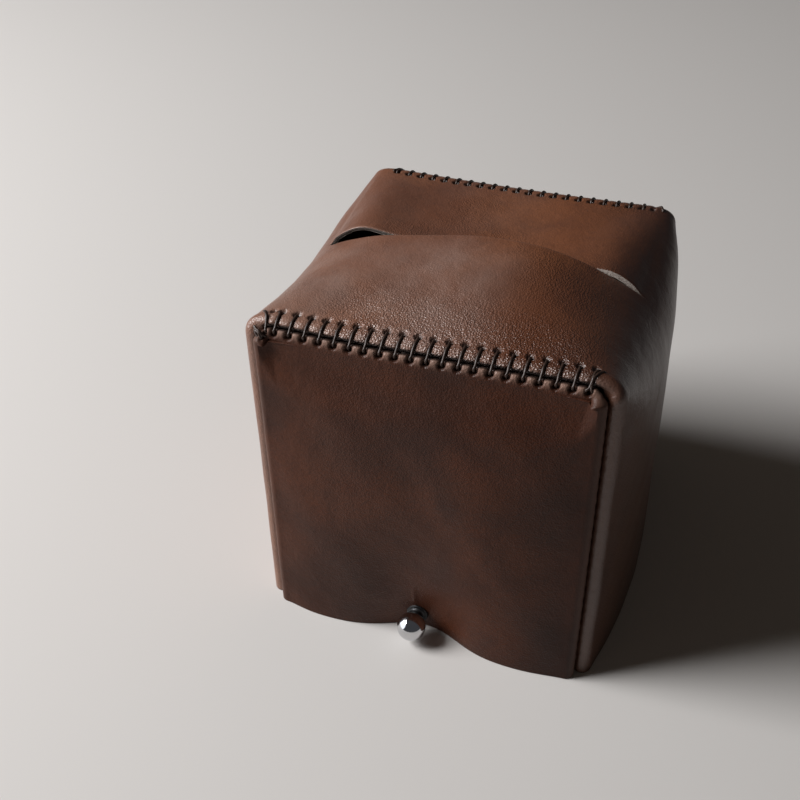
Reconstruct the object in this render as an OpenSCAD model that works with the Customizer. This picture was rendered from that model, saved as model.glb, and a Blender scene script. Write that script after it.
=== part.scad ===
// Cube tissue box cover in vegetable-tanned leather.
// Three cut pieces (one strip for the left side, top and right side, one front and
// one back panel) are joined by whip-stitched top edges and four turned corner seams.
// A strap sewn to the back panel runs under the box to a ball stud on the front.
// The origin is the middle of the open base, +Z is up and -Y is the front.

/* [Cover] */
// Distance between the left and right corner seams
seam_w = 116; // [100:1:135]
// Distance between the front and back stitched edges of the top
seam_d = 116; // [100:1:135]
// Height of the front stitched edge at its corners
front_h = 120.8; // [95:0.1:150]
// How much lower the back stitched edge lies
back_drop = 2.2; // [0:0.1:4]
// Radius of the stitched edges' upper corners
seam_r = 5; // [3.5:0.5:8]
// Radius of the strip's bends at mid depth
bend_r = 30; // [20:1:38]
// How far the side walls bow out past their rolled edges
side_bow = 8; // [2:0.1:10]
// How far the top rises past its rolled edges
top_bow = 1.4; // [0.5:0.1:4]
// How far the corner seams draw in at the hem
hem_draw_in = 2; // [0:0.1:4]
// How much narrower the back stitched edge is on each side
back_narrow = 4.6; // [0:0.1:7]

/* [Leather] */
// Thickness of the leather
leather_t = 1.8; // [1.4:0.1:2]
// Outer radius of the turned corner seams
side_roll_r = 3; // [2.2:0.1:3.6]
// Outer radius of the top leather beside the whip stitches
top_roll_r = 5; // [4:0.5:7]
// Leather turned inside along each corner seam
seam_allowance = 4; // [3:0.5:5]
// Straight end of the leather at the whip-stitched butt joint
butt_tail = 0.6; // [0.4:0.1:1]
// Gap between two sewn pieces of leather
seam_gap = 0.3; // [0.2:0.05:0.5]

/* [Panels] */
// How far the front and back panels bow out at mid height
panel_bow = 4; // [1:0.5:6]
// How far the front corner seams move forward at the hem
front_flare = 5.3; // [0:0.1:7]
// Extra forward move of the right front seam, and lack of it on the left
front_twist = 1.9; // [0:0.1:3]
// How far the back corner seams move back at the hem
back_flare = 2; // [0:0.1:4]
// How far the hem swells between the middle and the corner seams
hem_swell = 2.1; // [1:0.1:6]
// How far the front hem is drawn in at the stud
front_pinch = 9.3; // [3:0.1:11]
// How far the back hem is drawn in at the strap
back_pinch = 4; // [2:0.1:8]
// Dip of the front stitched edge left of its middle
front_sag = 0.8; // [0:0.1:2]
// Dip of the back stitched edge in its middle
back_sag = 1.2; // [0:0.1:3]

/* [Tissue slit] */
// Half the length of the slit, measured across the cover
slit_half = 57; // [40:1:62]
// Place of the slit behind the middle
slit_y = 3; // [-10:1:12]
// Widest gap between the two lips
slit_gap = 2.4; // [1:0.1:5]
// Rise of the front lip over the bend's own curve
lip_rise = 6.5; // [3:0.1:10]
// Dip of the rear lip behind the front lip
lip_dip = 2.6; // [1:0.1:5]
// Rise of the rear lip near both ends of the slit
rear_rise = 2; // [0:0.1:3]
// Place of the front lip's highest point right of the middle
crown_x = 12; // [-15:1:15]

/* [Thread] */
// Whip stitches along the front edge, and as many along the back
stitches = 22; // [14:1:24]
// Distance of the left end stitch from the left corner seam
lace_left = 1.9; // [1:0.1:8]
// Distance of the right end stitch from the right corner seam
lace_right = 5.2; // [3:0.1:8]
// Diameter of the waxed thread of the whip stitches
lace_d = 1.1; // [0.8:0.1:1.4]
// Distance from the top edge back to the row of holes in the strip
hole_back = 6; // [4:0.1:8]
// Distance from the top edge down to the row of holes in a panel
hole_down = 1.7; // [1.4:0.1:3]
// Diameter of the thread inside the corner seams and the strap's tab
seam_thread_d = 0.8; // [0.6:0.1:1]
// Length of one running stitch in the corner seams
run_pitch = 5; // [4:0.5:8]

/* [Ball stud] */
// Diameter of the ball
ball_d = 10.4; // [8:0.2:10.8]
// Height of the stud's centre over the base
stud_z = 7; // [5.5:0.1:8]
// Diameter of the neck between ball and base disc
neck_d = 5; // [4.6:0.1:6]
// Length of the neck in front of the base disc
neck_len = 1.8; // [1.6:0.1:4]
// Diameter of the base disc
disc_d = 8; // [6.5:0.5:9]
// Thickness of the base disc
disc_t = 1; // [0.8:0.1:2]
// Diameter of the screw
screw_d = 3.4; // [2.5:0.1:3.8]
// Diameter of the flat screw head
screw_head_d = 9; // [7:0.5:10]
// Thickness of the flat screw head
screw_head_t = 1.4; // [1:0.1:2]
// Length of the screw in the ball
screw_reach = 6; // [4:0.5:7]
// Gap round the screw in its threaded hole
screw_fit = 0.05; // [0.02:0.01:0.1]
// Gap round the screw in the leather
screw_hole_gap = 0.2; // [0.1:0.05:0.4]
// Width and depth of the screwdriver slot
drive_slot = 0.8; // [0.6:0.1:1]

/* [Strap] */
// How far right of the middle the strap and its stud lie
strap_x = -3; // [-6:0.5:6]
// Width of the strap under the box
strap_w = 20; // [16:1:26]
// Height of the tab that is sewn inside the back panel
tab_h = 15; // [12:1:25]
// Gap between the tab and the back panel
tab_gap = 0.3; // [0.2:0.05:0.5]
// Gap between the tab and the strap at the crease
crease_gap = 0.3; // [0.2:0.05:0.6]
// Space between the strap's turned-up end and the front panel
end_gap = 4.4; // [3.5:0.1:8]
// Outer radius of the turned-up end's bend
end_bend_r = 3.6; // [2.8:0.1:5]
// Height of the buttonhole's centre over the base
button_z = 7.6; // [6:0.1:10]
// Diameter of the buttonhole
button_d = 5.2; // [4:0.1:6]
// Width of the slit that runs from the buttonhole round the bend
button_slit_w = 0.6; // [0.4:0.1:1]
// Distance of the tab's stitches from its edges
tab_stitch_inset = 3; // [2:0.5:4]
// Length of one stitch of the tab
tab_pitch = 3.5; // [3:0.5:5]

/* [Hidden] */

hw = seam_w / 2;
hd = seam_d / 2;
FRONT = -1;
BACK = 1;

// Shapes of the bulges, as exponents and shares of the pieces they follow
front_bend_exp = 2.2;
back_bend_exp = 1.4;
flare_exp = 1.5;
crown_exp = 2.3;
tail_exp = 3;
crown_share = 0.907;
sag_place_share = -0.43;
sag_width_share = 0.48;
pinch_place_share = -0.01;
pinch_width_share = 0.31;
gap_peak_share = 0.8;
slit_close_share = 0.08;
rise_place_share = 0.8;
rise_width_share = 0.17;

// Turn of the leather at a whip-stitched edge, and beyond it at a turned seam
butt_turn = 45;
seam_turn = 90;

// Steps of the surfaces
wall_steps = 7;
bend_steps = 6;
top_steps = 22;
roll_steps = 4;
face_steps = 7;
tube_sides = 6;
round_fn = 64;

// One overrun for all cuts
cut = 1;

leather = "#5a3728";
thread = "#1d1512";
metal = "#c9ccd1";

function smooth(t) = let(c = min(max(t, 0), 1)) c * c * (3 - 2 * c);
function unit(v) = v / norm(v);
function lerp(a, b, f) = a + (b - a) * f;
function bell(x, middle, width) = exp(-pow((x - middle) / width, 2));

// The seam path, as one number: 0 to 1 left wall, 1 to 2 left bend, 2 to 3 top,
// 3 to 4 right bend, 4 to 5 right wall
stations = concat(
    [for (i = [0 : wall_steps - 1]) i / wall_steps],
    [for (i = [0 : bend_steps - 1]) 1 + i / bend_steps],
    [for (i = [0 : top_steps - 1]) 2 + i / top_steps],
    [for (i = [0 : bend_steps - 1]) 3 + i / bend_steps],
    [for (i = [0 : wall_steps]) 4 + i / wall_steps]);
station_n = len(stations) - 1;

// Place on a path of half width w, height h and corner radius r, as [x, z]
function path_at(t, w, h, r) =
    t < 1 ? [-w, t * (h - r)]
    : t < 2 ? [-w + r * (1 - cos(90 * (t - 1))), h - r + r * sin(90 * (t - 1))]
    : t < 3 ? [-w + r + (t - 2) * 2 * (w - r), h]
    : t < 4 ? [w - r + r * sin(90 * (t - 3)), h - r + r * cos(90 * (t - 3))]
    : [w, (5 - t) * (h - r)];

// Outward direction of the path
function out_at(t) =
    t < 1 ? [-1, 0, 0]
    : t < 2 ? [-cos(90 * (t - 1)), 0, sin(90 * (t - 1))]
    : t < 3 ? [0, 0, 1]
    : t < 4 ? [sin(90 * (t - 3)), 0, cos(90 * (t - 3))]
    : [1, 0, 0];

// 1 where the seam is a turned one, 0 where it is whip-stitched
function turned(t) =
    t < 1 || t >= 4 ? 1
    : t < 2 ? 1 - smooth(t - 1)
    : t < 3 ? 0
    : smooth(t - 3);

function turn_at(t) = butt_turn + seam_turn * turned(t);
function roll_at(t) = lerp(top_roll_r, side_roll_r, turned(t));
function tail_at(t) = lerp(butt_tail, seam_allowance, pow(turned(t), tail_exp));
function bow_at(t) = lerp(top_bow, side_bow, turned(t));

function edge_h(side) = side == FRONT ? front_h : front_h - back_drop;
function edge_w(side) = side == FRONT ? hw : hw - back_narrow;
function flare_at(side, x) = side == FRONT ? front_flare + front_twist * x / hw : back_flare;

// Path at the share f of the depth, 0 at the front seam and 1 at the back seam
function base_at(t, f, r) =
    let(w = lerp(edge_w(FRONT), edge_w(BACK), f),
        h = lerp(edge_h(FRONT), edge_h(BACK), f),
        p = path_at(t, w, h, r),
        drop = 1 - p[1] / h,
        x = p[0] * (1 - drop * hem_draw_in / hw),
        across = max(0, 1 - pow(x / hw, 2)),
        up = pow(out_at(t)[2], 2),
        dip = lerp(front_sag * bell(x / hw, sag_place_share, sag_width_share), back_sag, f))
    [x, p[1] - dip * across * up * pow(2 * f - 1, 2), drop];

// Place of the seam itself
function seam_at(t, side) =
    let(f = side == FRONT ? 0 : 1, b = base_at(t, f, seam_r))
    [b[0], side * (hd + flare_at(side, b[0]) * pow(b[2], flare_exp)), b[1]];

// A rolled edge's profile is drawn from the seam as [e, o], towards the edge and outwards.
// Two joined edges mirror each other in the seam's mitre plane, and each keeps to its side.
mitre = [-sin(butt_turn), cos(butt_turn)];
function heading(t) = [cos(turn_at(t)), -sin(turn_at(t))];
function facing(turn) = [sin(turn), cos(turn)];

// End of the roll, from which the tail runs on to the mitre plane or along it
function roll_end(t) = mitre * (seam_gap / 2 + tail_at(t) * cos(turn_at(t) - butt_turn));

// Point of the rolled edge at the given turn, as [e, o] from the seam
function roll_pt(t, turn) =
    roll_end(t) + roll_at(t) * (facing(turn) - facing(turn_at(t)));
function tail_pt(t) = roll_end(t) + heading(t) * tail_at(t);

// The rolled edge's rows from the end of the tail to the flat face, as [e, o, turn]
function edge_rows(t) = concat(
    [[tail_pt(t)[0], tail_pt(t)[1], turn_at(t)]],
    [for (i = [0 : roll_steps]) let(a = turn_at(t) * (1 - i / roll_steps), p = roll_pt(t, a))
        [p[0], p[1], a]]);

// Height that the slit's lips add to the top. The front lip rises, and the rear lip dips
// behind it and rises near both ends of the slit.
function crown(x) =
    let(reach = crown_share * hw, w = x < crown_x ? reach + crown_x : reach - crown_x)
    pow(max(0, 1 - pow((x - crown_x) / w, 2)), crown_exp);
function slit_close(x) = smooth((1 - min(abs(x) / slit_half, 1)) / slit_close_share);
function rear_lift(x) = rear_rise * slit_close(x) * bell(abs(x) / hw, rise_place_share, rise_width_share)
    - lip_dip * crown(x);
function lip_lift(x, y, rear) =
    rear ? rear_lift(x) * smooth((hd - y) / (hd - slit_y))
    : lip_rise * crown(x) * smooth((y + hd) / (hd + slit_y));

// Radius of the strip's bends at the share f of the depth
function bend_at(f) =
    seam_r + (bend_r - seam_r)
        * (1 - pow(abs(2 * f - 1), f < 1 / 2 ? front_bend_exp : back_bend_exp));

// Point of the strip's outer side at depth y and o out of the seam path
function strip_pt(t, y, o, rear) =
    let(yf = seam_at(t, FRONT)[1], yb = seam_at(t, BACK)[1],
        f = min(max((y - yf) / (yb - yf), 0), 1),
        s = abs(2 * f - 1),
        b = base_at(t, f, bend_at(f)),
        rise = o + bow_at(t) * (1 - s * s),
        x = b[0] + out_at(t)[0] * rise,
        z = b[1] + out_at(t)[2] * rise)
    [x, y, z + (out_at(t)[2] > 0 ? lip_lift(x, y, rear) : 0)];

// Flat part of a piece between its rolls: how far out it lies, and where it starts
function face_out(t) = roll_pt(t, 0)[1];
function face_start(t, side) = seam_at(t, side)[1] + side * roll_pt(t, 0)[0];

// Row m of the strip's outer side, as [point, turn of the roll, side that the roll faces]
function strip_row(t, m) =
    let(n = roll_steps + 1, k = 2 * face_steps - 1)
    m <= n ? let(r = edge_rows(t)[m])
        [strip_pt(t, seam_at(t, FRONT)[1] - r[0], r[1], false), r[2], FRONT]
    : m <= n + k ? let(j = m - n, rear = j > face_steps,
            y = j <= face_steps
                ? lerp(face_start(t, FRONT), slit_y, j / face_steps)
                : lerp(slit_y, face_start(t, BACK), (j - face_steps) / face_steps))
        [strip_pt(t, y, face_out(t), rear), 0, 0]
    : let(r = edge_rows(t)[2 * n + k + 1 - m])
        [strip_pt(t, seam_at(t, BACK)[1] + r[0], r[1], true), r[2], BACK];

strip_rows = 2 * (roll_steps + 1) + 2 * face_steps;
slit_row = roll_steps + 1 + face_steps;

// Stations that the slit reaches
function mid_x(t) = strip_pt(t, slit_y, face_out(t), false)[0];
slit_stations = [for (i = [0 : station_n]) if (abs(mid_x(stations[i])) < slit_half) i];
slit_from = slit_stations[0] - 1;
slit_to = slit_stations[len(slit_stations) - 1] + 1;

// Half the gap between the lips, widest near both ends of the slit
function lip_gap(x) =
    slit_gap / 2 * slit_close(x) * lerp(1 / 2, 1, smooth(abs(x) / slit_half / gap_peak_share));
function lip_pt(t, rear) =
    let(g = lip_gap(mid_x(t)))
    strip_pt(t, slit_y + (rear ? g : -g), face_out(t), rear);

function in_slit(i) = i > slit_from && i < slit_to;

strip_outer = [for (i = [0 : station_n]) [for (m = [0 : strip_rows])
    m == slit_row && in_slit(i) ? [lip_pt(stations[i], false), 0, 0]
    : strip_row(stations[i], m)]];
rear_lip = [for (i = [0 : station_n]) in_slit(i) ? lip_pt(stations[i], true)
    : strip_outer[i][slit_row][0]];

// A grid point of the strip, where the rear half has its own lip
function grid_pt(i, m, rear) = m == slit_row && rear ? rear_lip[i] : strip_outer[i][m][0];

// Normal of the strip's outer side
function strip_normal(i, m, rear) =
    let(row = strip_outer[i][m], t = stations[i])
    row[2] != 0
    ? row[2] * [0, 1, 0] * sin(row[1]) + out_at(t) * cos(row[1])
    : let(a = max(i - 1, 0), b = min(i + 1, station_n),
        c = m == slit_row && rear && in_slit(i) ? m : m - 1,
        d = m == slit_row && !rear && in_slit(i) ? m : m + 1)
    unit(cross(grid_pt(b, m, rear) - grid_pt(a, m, rear),
        grid_pt(i, d, rear) - grid_pt(i, c, rear)));

// The flesh side lies one thickness in, level with the grain side at the hem
function flesh_pt(p, n, hem) = let(q = p - leather_t * n) hem ? [q[0], q[1], p[2]] : q;

function quad(a, b, c, d) = [[a, b, c], [a, c, d]];
function flat_list(v) = [for (a = v) for (b = a) b];

module body_strip() {
    rows = strip_rows + 1;
    count = (station_n + 1) * rows;
    extra = slit_to - slit_from - 1;
    outer = [for (i = [0 : station_n]) for (m = [0 : strip_rows]) grid_pt(i, m, false)];
    inner = [for (i = [0 : station_n]) for (m = [0 : strip_rows])
        flesh_pt(grid_pt(i, m, false), strip_normal(i, m, false), i == 0 || i == station_n)];
    lip_outer = [for (i = [slit_from + 1 : slit_to - 1]) rear_lip[i]];
    lip_inner = [for (i = [slit_from + 1 : slit_to - 1])
        flesh_pt(rear_lip[i], strip_normal(i, slit_row, true), false)];
    function vo(i, m, rear) = m == slit_row && rear && in_slit(i)
        ? 2 * count + i - slit_from - 1 : i * rows + m;
    function vi(i, m, rear) = m == slit_row && rear && in_slit(i)
        ? 2 * count + extra + i - slit_from - 1 : count + i * rows + m;
    skin = [for (i = [0 : station_n - 1]) for (m = [0 : strip_rows - 1]) let(r = m >= slit_row)
        each concat(
            quad(vo(i, m, r), vo(i, m + 1, r), vo(i + 1, m + 1, r), vo(i + 1, m, r)),
            quad(vi(i, m, r), vi(i + 1, m, r), vi(i + 1, m + 1, r), vi(i, m + 1, r)))];
    ends = [for (i = [0 : station_n - 1]) each concat(
        quad(vo(i, 0, false), vo(i + 1, 0, false), vi(i + 1, 0, false), vi(i, 0, false)),
        quad(vo(i + 1, strip_rows, true), vo(i, strip_rows, true),
            vi(i, strip_rows, true), vi(i + 1, strip_rows, true)))];
    hems = [for (m = [0 : strip_rows - 1]) let(r = m >= slit_row) each concat(
        quad(vo(0, m + 1, r), vo(0, m, r), vi(0, m, r), vi(0, m + 1, r)),
        quad(vo(station_n, m, r), vo(station_n, m + 1, r),
            vi(station_n, m + 1, r), vi(station_n, m, r)))];
    lips = [for (i = [slit_from : slit_to - 1]) each concat(
        quad(vo(i + 1, slit_row, false), vo(i, slit_row, false),
            vi(i, slit_row, false), vi(i + 1, slit_row, false)),
        quad(vo(i, slit_row, true), vo(i + 1, slit_row, true),
            vi(i + 1, slit_row, true), vi(i, slit_row, true)))];
    color(leather)
        polyhedron(concat(outer, inner, lip_outer, lip_inner),
            concat(skin, ends, hems, lips), convexity = 10);
}

// How far a panel bows out at x, z
function panel_rise(side, x, z) =
    let(h = edge_h(side), v = min(max(z / h, 0), 1), u = min(max(x / hw, -1), 1),
        pinch = side == FRONT ? front_pinch : back_pinch,
        hem = hem_swell * (1 - pow(u, 4)) - pinch * bell(u, pinch_place_share, pinch_width_share))
    panel_bow * (1 - u * u) * sin(180 * v) + hem * pow(1 - v, 2) * (1 - pow(u, 8));

function panel_raise(side, p) = p + [0, side * panel_rise(side, p[0], p[2]), 0];

// Point of a panel's rolled edge, from the seam along the path's own outward direction
function panel_edge(side, t, e, o) = seam_at(t, side) + e * out_at(t) + [0, side * o, 0];

// The panel's face is a patch between its rolled edges and the hem
side_steps = wall_steps + bend_steps / 2;
across_steps = top_steps + bend_steps;
function rim(side, k) = let(t = stations[k], p = roll_pt(t, 0)) panel_edge(side, t, p[0], p[1]);
function patch(side, i, j) =
    let(u = i / across_steps, v = j / side_steps,
        left = rim(side, j), right = rim(side, station_n - j),
        top = rim(side, side_steps + i),
        bl = rim(side, 0), br = rim(side, station_n),
        tl = rim(side, side_steps), tr = rim(side, side_steps + across_steps))
    lerp(lerp(bl, br, u), top, v) + lerp(left, right, u)
    - lerp(lerp(bl, br, u), lerp(tl, tr, u), v);

// Point of a panel's lowest band of facets at x, z, for what is fixed there
function low_pt(side, x, z) =
    let(bl = rim(side, 0)[0], br = rim(side, station_n)[0],
        u = (x - bl) / (br - bl) * across_steps, i = floor(u),
        a = lerp(panel_raise(side, patch(side, i, 0)), panel_raise(side, patch(side, i + 1, 0)), u - i),
        b = lerp(panel_raise(side, patch(side, i, 1)), panel_raise(side, patch(side, i + 1, 1)), u - i))
    lerp(a, b, (z - a[2]) / (b[2] - a[2]));

module panel(side) {
    n = station_n;
    band = roll_steps + 1;
    face = [for (i = [0 : across_steps]) [for (j = [0 : side_steps])
        panel_raise(side, patch(side, i, j))]];
    edge = [for (k = [0 : n]) let(t = stations[k], rows = edge_rows(t))
        [for (m = [0 : band - 1]) let(r = rows[m])
            [panel_raise(side, panel_edge(side, t, r[0], r[1])),
                out_at(t) * sin(r[2]) + [0, side * cos(r[2]), 0]]]];
    function face_normal(i, j) =
        let(a = face[max(i - 1, 0)][j], b = face[min(i + 1, across_steps)][j],
            c = face[i][max(j - 1, 0)], d = face[i][min(j + 1, side_steps)],
            w = cross(b - a, d - c))
        norm(w) == 0 ? [0, side, 0] : -side * unit(w);
    function rim_i(k) = min(max(k - side_steps, 0), across_steps);
    function rim_j(k) = k < side_steps ? k : k > n - side_steps ? n - k : side_steps;
    on_rim = [for (i = [0 : across_steps]) [for (j = [0 : side_steps])
        i == 0 || i == across_steps || j == side_steps]];
    nf = (across_steps + 1) * (side_steps + 1);
    ne = (n + 1) * band;
    face_outer = [for (i = [0 : across_steps]) for (j = [0 : side_steps]) face[i][j]];
    face_inner = [for (i = [0 : across_steps]) for (j = [0 : side_steps])
        flesh_pt(face[i][j], on_rim[i][j] ? [0, side, 0] : face_normal(i, j), j == 0)];
    edge_outer = [for (k = [0 : n]) for (m = [0 : band - 1]) edge[k][m][0]];
    edge_inner = [for (k = [0 : n]) for (m = [0 : band - 1])
        flesh_pt(edge[k][m][0], edge[k][m][1], k == 0 || k == n)];
    function fo(i, j) = i * (side_steps + 1) + j;
    function eo(k, m) = m == band ? fo(rim_i(k), rim_j(k)) : 2 * nf + k * band + m;
    function ei(k, m) = m == band ? nf + fo(rim_i(k), rim_j(k)) : 2 * nf + ne + k * band + m;
    skin = concat(
        [for (i = [0 : across_steps - 1]) for (j = [0 : side_steps - 1]) each concat(
            quad(fo(i, j), fo(i, j + 1), fo(i + 1, j + 1), fo(i + 1, j)),
            quad(nf + fo(i, j), nf + fo(i + 1, j), nf + fo(i + 1, j + 1), nf + fo(i, j + 1)))],
        [for (k = [0 : n - 1]) for (m = [0 : band - 1]) each concat(
            quad(eo(k, m), eo(k + 1, m), eo(k + 1, m + 1), eo(k, m + 1)),
            quad(ei(k, m), ei(k, m + 1), ei(k + 1, m + 1), ei(k + 1, m)))]);
    ends = [for (k = [0 : n - 1]) each
        quad(eo(k + 1, 0), eo(k, 0), ei(k, 0), ei(k + 1, 0))];
    hems = concat(
        [for (i = [0 : across_steps - 1]) each
            quad(fo(i, 0), fo(i + 1, 0), nf + fo(i + 1, 0), nf + fo(i, 0))],
        [for (m = [0 : band - 1]) each concat(
            quad(eo(0, m), eo(0, m + 1), ei(0, m + 1), ei(0, m)),
            quad(eo(n, m + 1), eo(n, m), ei(n, m), ei(n, m + 1)))]);
    faces = concat(skin, ends, hems);
    polyhedron(concat(face_outer, face_inner, edge_outer, edge_inner),
        side == FRONT ? faces : [for (f = faces) [f[2], f[1], f[0]]], convexity = 10);
}

// Where the stud is fixed: on the front panel's lower middle
stud_y = low_pt(FRONT, strap_x, stud_z)[1];

module front_panel() {
    color(leather) difference() {
        panel(FRONT);
        translate([strap_x, stud_y + leather_t + cut * 2, stud_z]) rotate([90, 0, 0])
            cylinder(d = screw_d + 2 * screw_hole_gap, h = leather_t + cut * 4, $fn = round_fn);
    }
}

module back_panel() {
    color(leather) panel(BACK);
}

// A closed tube of radius r along pts, with each ring's first spoke square to its aside
module tube(pts, r, asides) {
    n = len(pts);
    dirs = [for (i = [0 : n - 1]) unit(pts[min(i + 1, n - 1)] - pts[max(i - 1, 0)])];
    rings = [for (i = [0 : n - 1])
        let(u = unit(cross(dirs[i], asides[i])), v = cross(dirs[i], u))
        for (s = [0 : tube_sides - 1]) let(a = 360 * s / tube_sides)
            pts[i] + r * (cos(a) * u + sin(a) * v)];
    sides = [for (i = [0 : n - 2]) for (s = [0 : tube_sides - 1])
        let(a = i * tube_sides + s, b = i * tube_sides + (s + 1) % tube_sides)
        each quad(a, a + tube_sides, b + tube_sides, b)];
    last = (n - 1) * tube_sides;
    caps = concat(
        [for (s = [1 : tube_sides - 2]) [0, s, s + 1]],
        [for (s = [1 : tube_sides - 2]) [last, last + s + 1, last + s]]);
    polyhedron(rings, concat(sides, caps), convexity = 10);
}

// Whip stitches: the left end is farther from its seam than the right one, as each
// stitch slants half a pitch to the left on its way over the edge
lace_r = lace_d / 2;
lace_lift = lace_r + seam_gap / 2;
lace_end = 2 * lace_d;
slant_share = 0.12;

function lace_pitch(side) = (2 * edge_w(side) - lace_left - lace_right) / (stitches - 1);

// Share of the depth at that distance behind a seam, and half the strip's flat width there
function share_behind(side, back) = side == FRONT ? back / seam_d : 1 - back / seam_d;
function flat_half(f) = lerp(edge_w(FRONT), edge_w(BACK), f) - bend_at(f);

// The path number at a place x along a stitched edge, or that far behind it on the strip
function path_no(side, x, back) =
    let(f = share_behind(side, back), flat_w = flat_half(f),
        over = min((abs(x) - flat_w) / bend_at(f), 1))
    over <= 0 ? 2 + (x + flat_w) / (2 * flat_w)
    : x < 0 ? 2 - asin(over) / 90
    : 3 + asin(over) / 90;

// Points of the leather's grain side at a stitched edge, lifted off it
function on_strip(side, t, turn, lift) =
    let(p = roll_pt(t, turn) + lift * facing(turn))
    strip_pt(t, seam_at(t, side)[1] + side * p[0], p[1], side == BACK);
function behind_edge(side, t, lift) =
    strip_pt(t, seam_at(t, side)[1] - side * hole_back, face_out(t) + lift, side == BACK);
function on_panel(side, t, turn, lift) =
    let(p = roll_pt(t, turn) + lift * facing(turn))
    panel_raise(side, panel_edge(side, t, p[0], p[1]));
function hole_turn(t) =
    asin(max(0, sin(turn_at(t)) - (hole_down + roll_end(t)[0]) / roll_at(t)));

// The stitches of one edge, worked from its right end to its left as seen from outside. Their
// pitch is measured along the strip, so near a corner they lie closer together in x.
function lace_x(side, k, share) =
    let(u = lace_left - edge_w(side) + (k - share) * lace_pitch(side),
        f = share_behind(side, hole_back), r = bend_at(f), over = max(abs(u) - flat_half(f), 0))
    -side * sign(u) * (abs(u) - over + r * sin(over / r / PI * 180));
function lace_t(side, k, share, back) = path_no(side, lace_x(side, k, share), back);
function strip_back(turn) = -roll_pt(2, turn)[0];
over_shares = [0, 0.4, 0.76] * slant_share / 2;
over_turns = [0, 15, 33];
function stitch_pts(side, k) =
    let(under = -leather_t - lace_lift, far = lace_t(side, k, slant_share, 0),
        next = lace_t(side, k, 1, hole_back))
    concat(
        [behind_edge(side, lace_t(side, k, 0, hole_back), lace_lift)],
        [for (j = [1, 2]) on_strip(side,
            lace_t(side, k, over_shares[j], strip_back(over_turns[j])), over_turns[j], lace_lift)],
        [on_panel(side, lace_t(side, k, slant_share / 2, 0), butt_turn, lace_lift)],
        [for (j = [2, 1]) on_panel(side, lace_t(side, k, slant_share - over_shares[j] / 2, 0),
            max(over_turns[j], hole_turn(far)), lace_lift)],
        [on_panel(side, far, hole_turn(far), under)],
        k > 0 ? [behind_edge(side, next, under)] : []);
function lace_route(side) =
    let(first = lace_t(side, stitches - 1, 0, hole_back), last = lace_t(side, 0, slant_share, 0),
        under = -leather_t - lace_lift)
    concat(
        [behind_edge(side, first, under - lace_end), behind_edge(side, first, under)],
        [for (k = [stitches - 1 : -1 : 0]) each stitch_pts(side, k)],
        [on_panel(side, last, hole_turn(last), under - lace_end)]);

// Least gap of a stitched route to itself, on points at least half a stitch apart
function route_gap(route, skip, d) = min([for (i = [0 : len(route) - 1 - skip])
    for (j = [i + skip : len(route) - 1]) norm(route[i] - route[j])]) - d;

module lacing(side) {
    route = lace_route(side);
    echo("least gap of the lacing to itself", route_gap(route, 5, lace_d));
    color(thread) tube(route, lace_r, [for (p = route) [1, 0, 0]]);
}

module front_lacing() {
    lacing(FRONT);
}

module back_lacing() {
    lacing(BACK);
}

// Running stitch through both turned-in edges of a corner seam
seam_thread_r = seam_thread_d / 2;
seam_stitch_share = 0.45;
function run_pts(side, right, z) =
    let(h = edge_h(side) - seam_r, t = right ? 5 - z / h : z / h,
        s = seam_at(t, side), e = [0, side, 0], o = out_at(t),
        inward = heading(t)[0] * e + heading(t)[1] * o,
        grain = sin(turn_at(t)) * e + cos(turn_at(t)) * o,
        mid = s + inward * seam_allowance * seam_stitch_share,
        reach = seam_gap + leather_t + seam_thread_r)
    [mid - grain * reach, mid + grain * reach];

module corner_thread(side, right) {
    high = edge_h(side) - seam_r - run_pitch;
    count = floor((high - run_pitch) / run_pitch);
    step = (high - run_pitch) / count;
    pairs = [for (k = [0 : count]) let(p = run_pts(side, right, run_pitch + k * step))
        k % 2 == 0 ? p : [p[1], p[0]]];
    route = flat_list(pairs);
    across = (right ? -1 : 1) * [1, 0, 0] - side * [0, 1, 0];
    color(thread) tube(route, seam_thread_r, [for (p = route) unit(across)]);
}

module seam_thread_front_left() {
    corner_thread(FRONT, false);
}

module seam_thread_front_right() {
    corner_thread(FRONT, true);
}

module seam_thread_back_left() {
    corner_thread(BACK, false);
}

module seam_thread_back_right() {
    corner_thread(BACK, true);
}

// Strap tab, sewn flat to the inside of the back panel
tab_low = leather_t + crease_gap;
tab_cols = 4;
function tab_pt(x, z, depth) = low_pt(BACK, x, z) - [0, leather_t + tab_gap + depth, 0];

module strap_tab() {
    pts = [for (d = [0, leather_t]) for (z = [tab_low, tab_low + tab_h])
        for (i = [0 : tab_cols]) tab_pt(strap_x + (i / tab_cols - 1 / 2) * strap_w, z, d)];
    n = tab_cols + 1;
    faces = concat(
        [for (i = [0 : tab_cols - 1]) each concat(
            quad(i, i + 1, n + i + 1, n + i),
            quad(2 * n + i, 3 * n + i, 3 * n + i + 1, 2 * n + i + 1),
            quad(i, 2 * n + i, 2 * n + i + 1, i + 1),
            quad(n + i, n + i + 1, 3 * n + i + 1, 3 * n + i))],
        quad(0, n, 3 * n, 2 * n),
        quad(n - 1, 3 * n - 1, 4 * n - 1, 2 * n - 1));
    color(leather) polyhedron(pts, faces);
}

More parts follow.
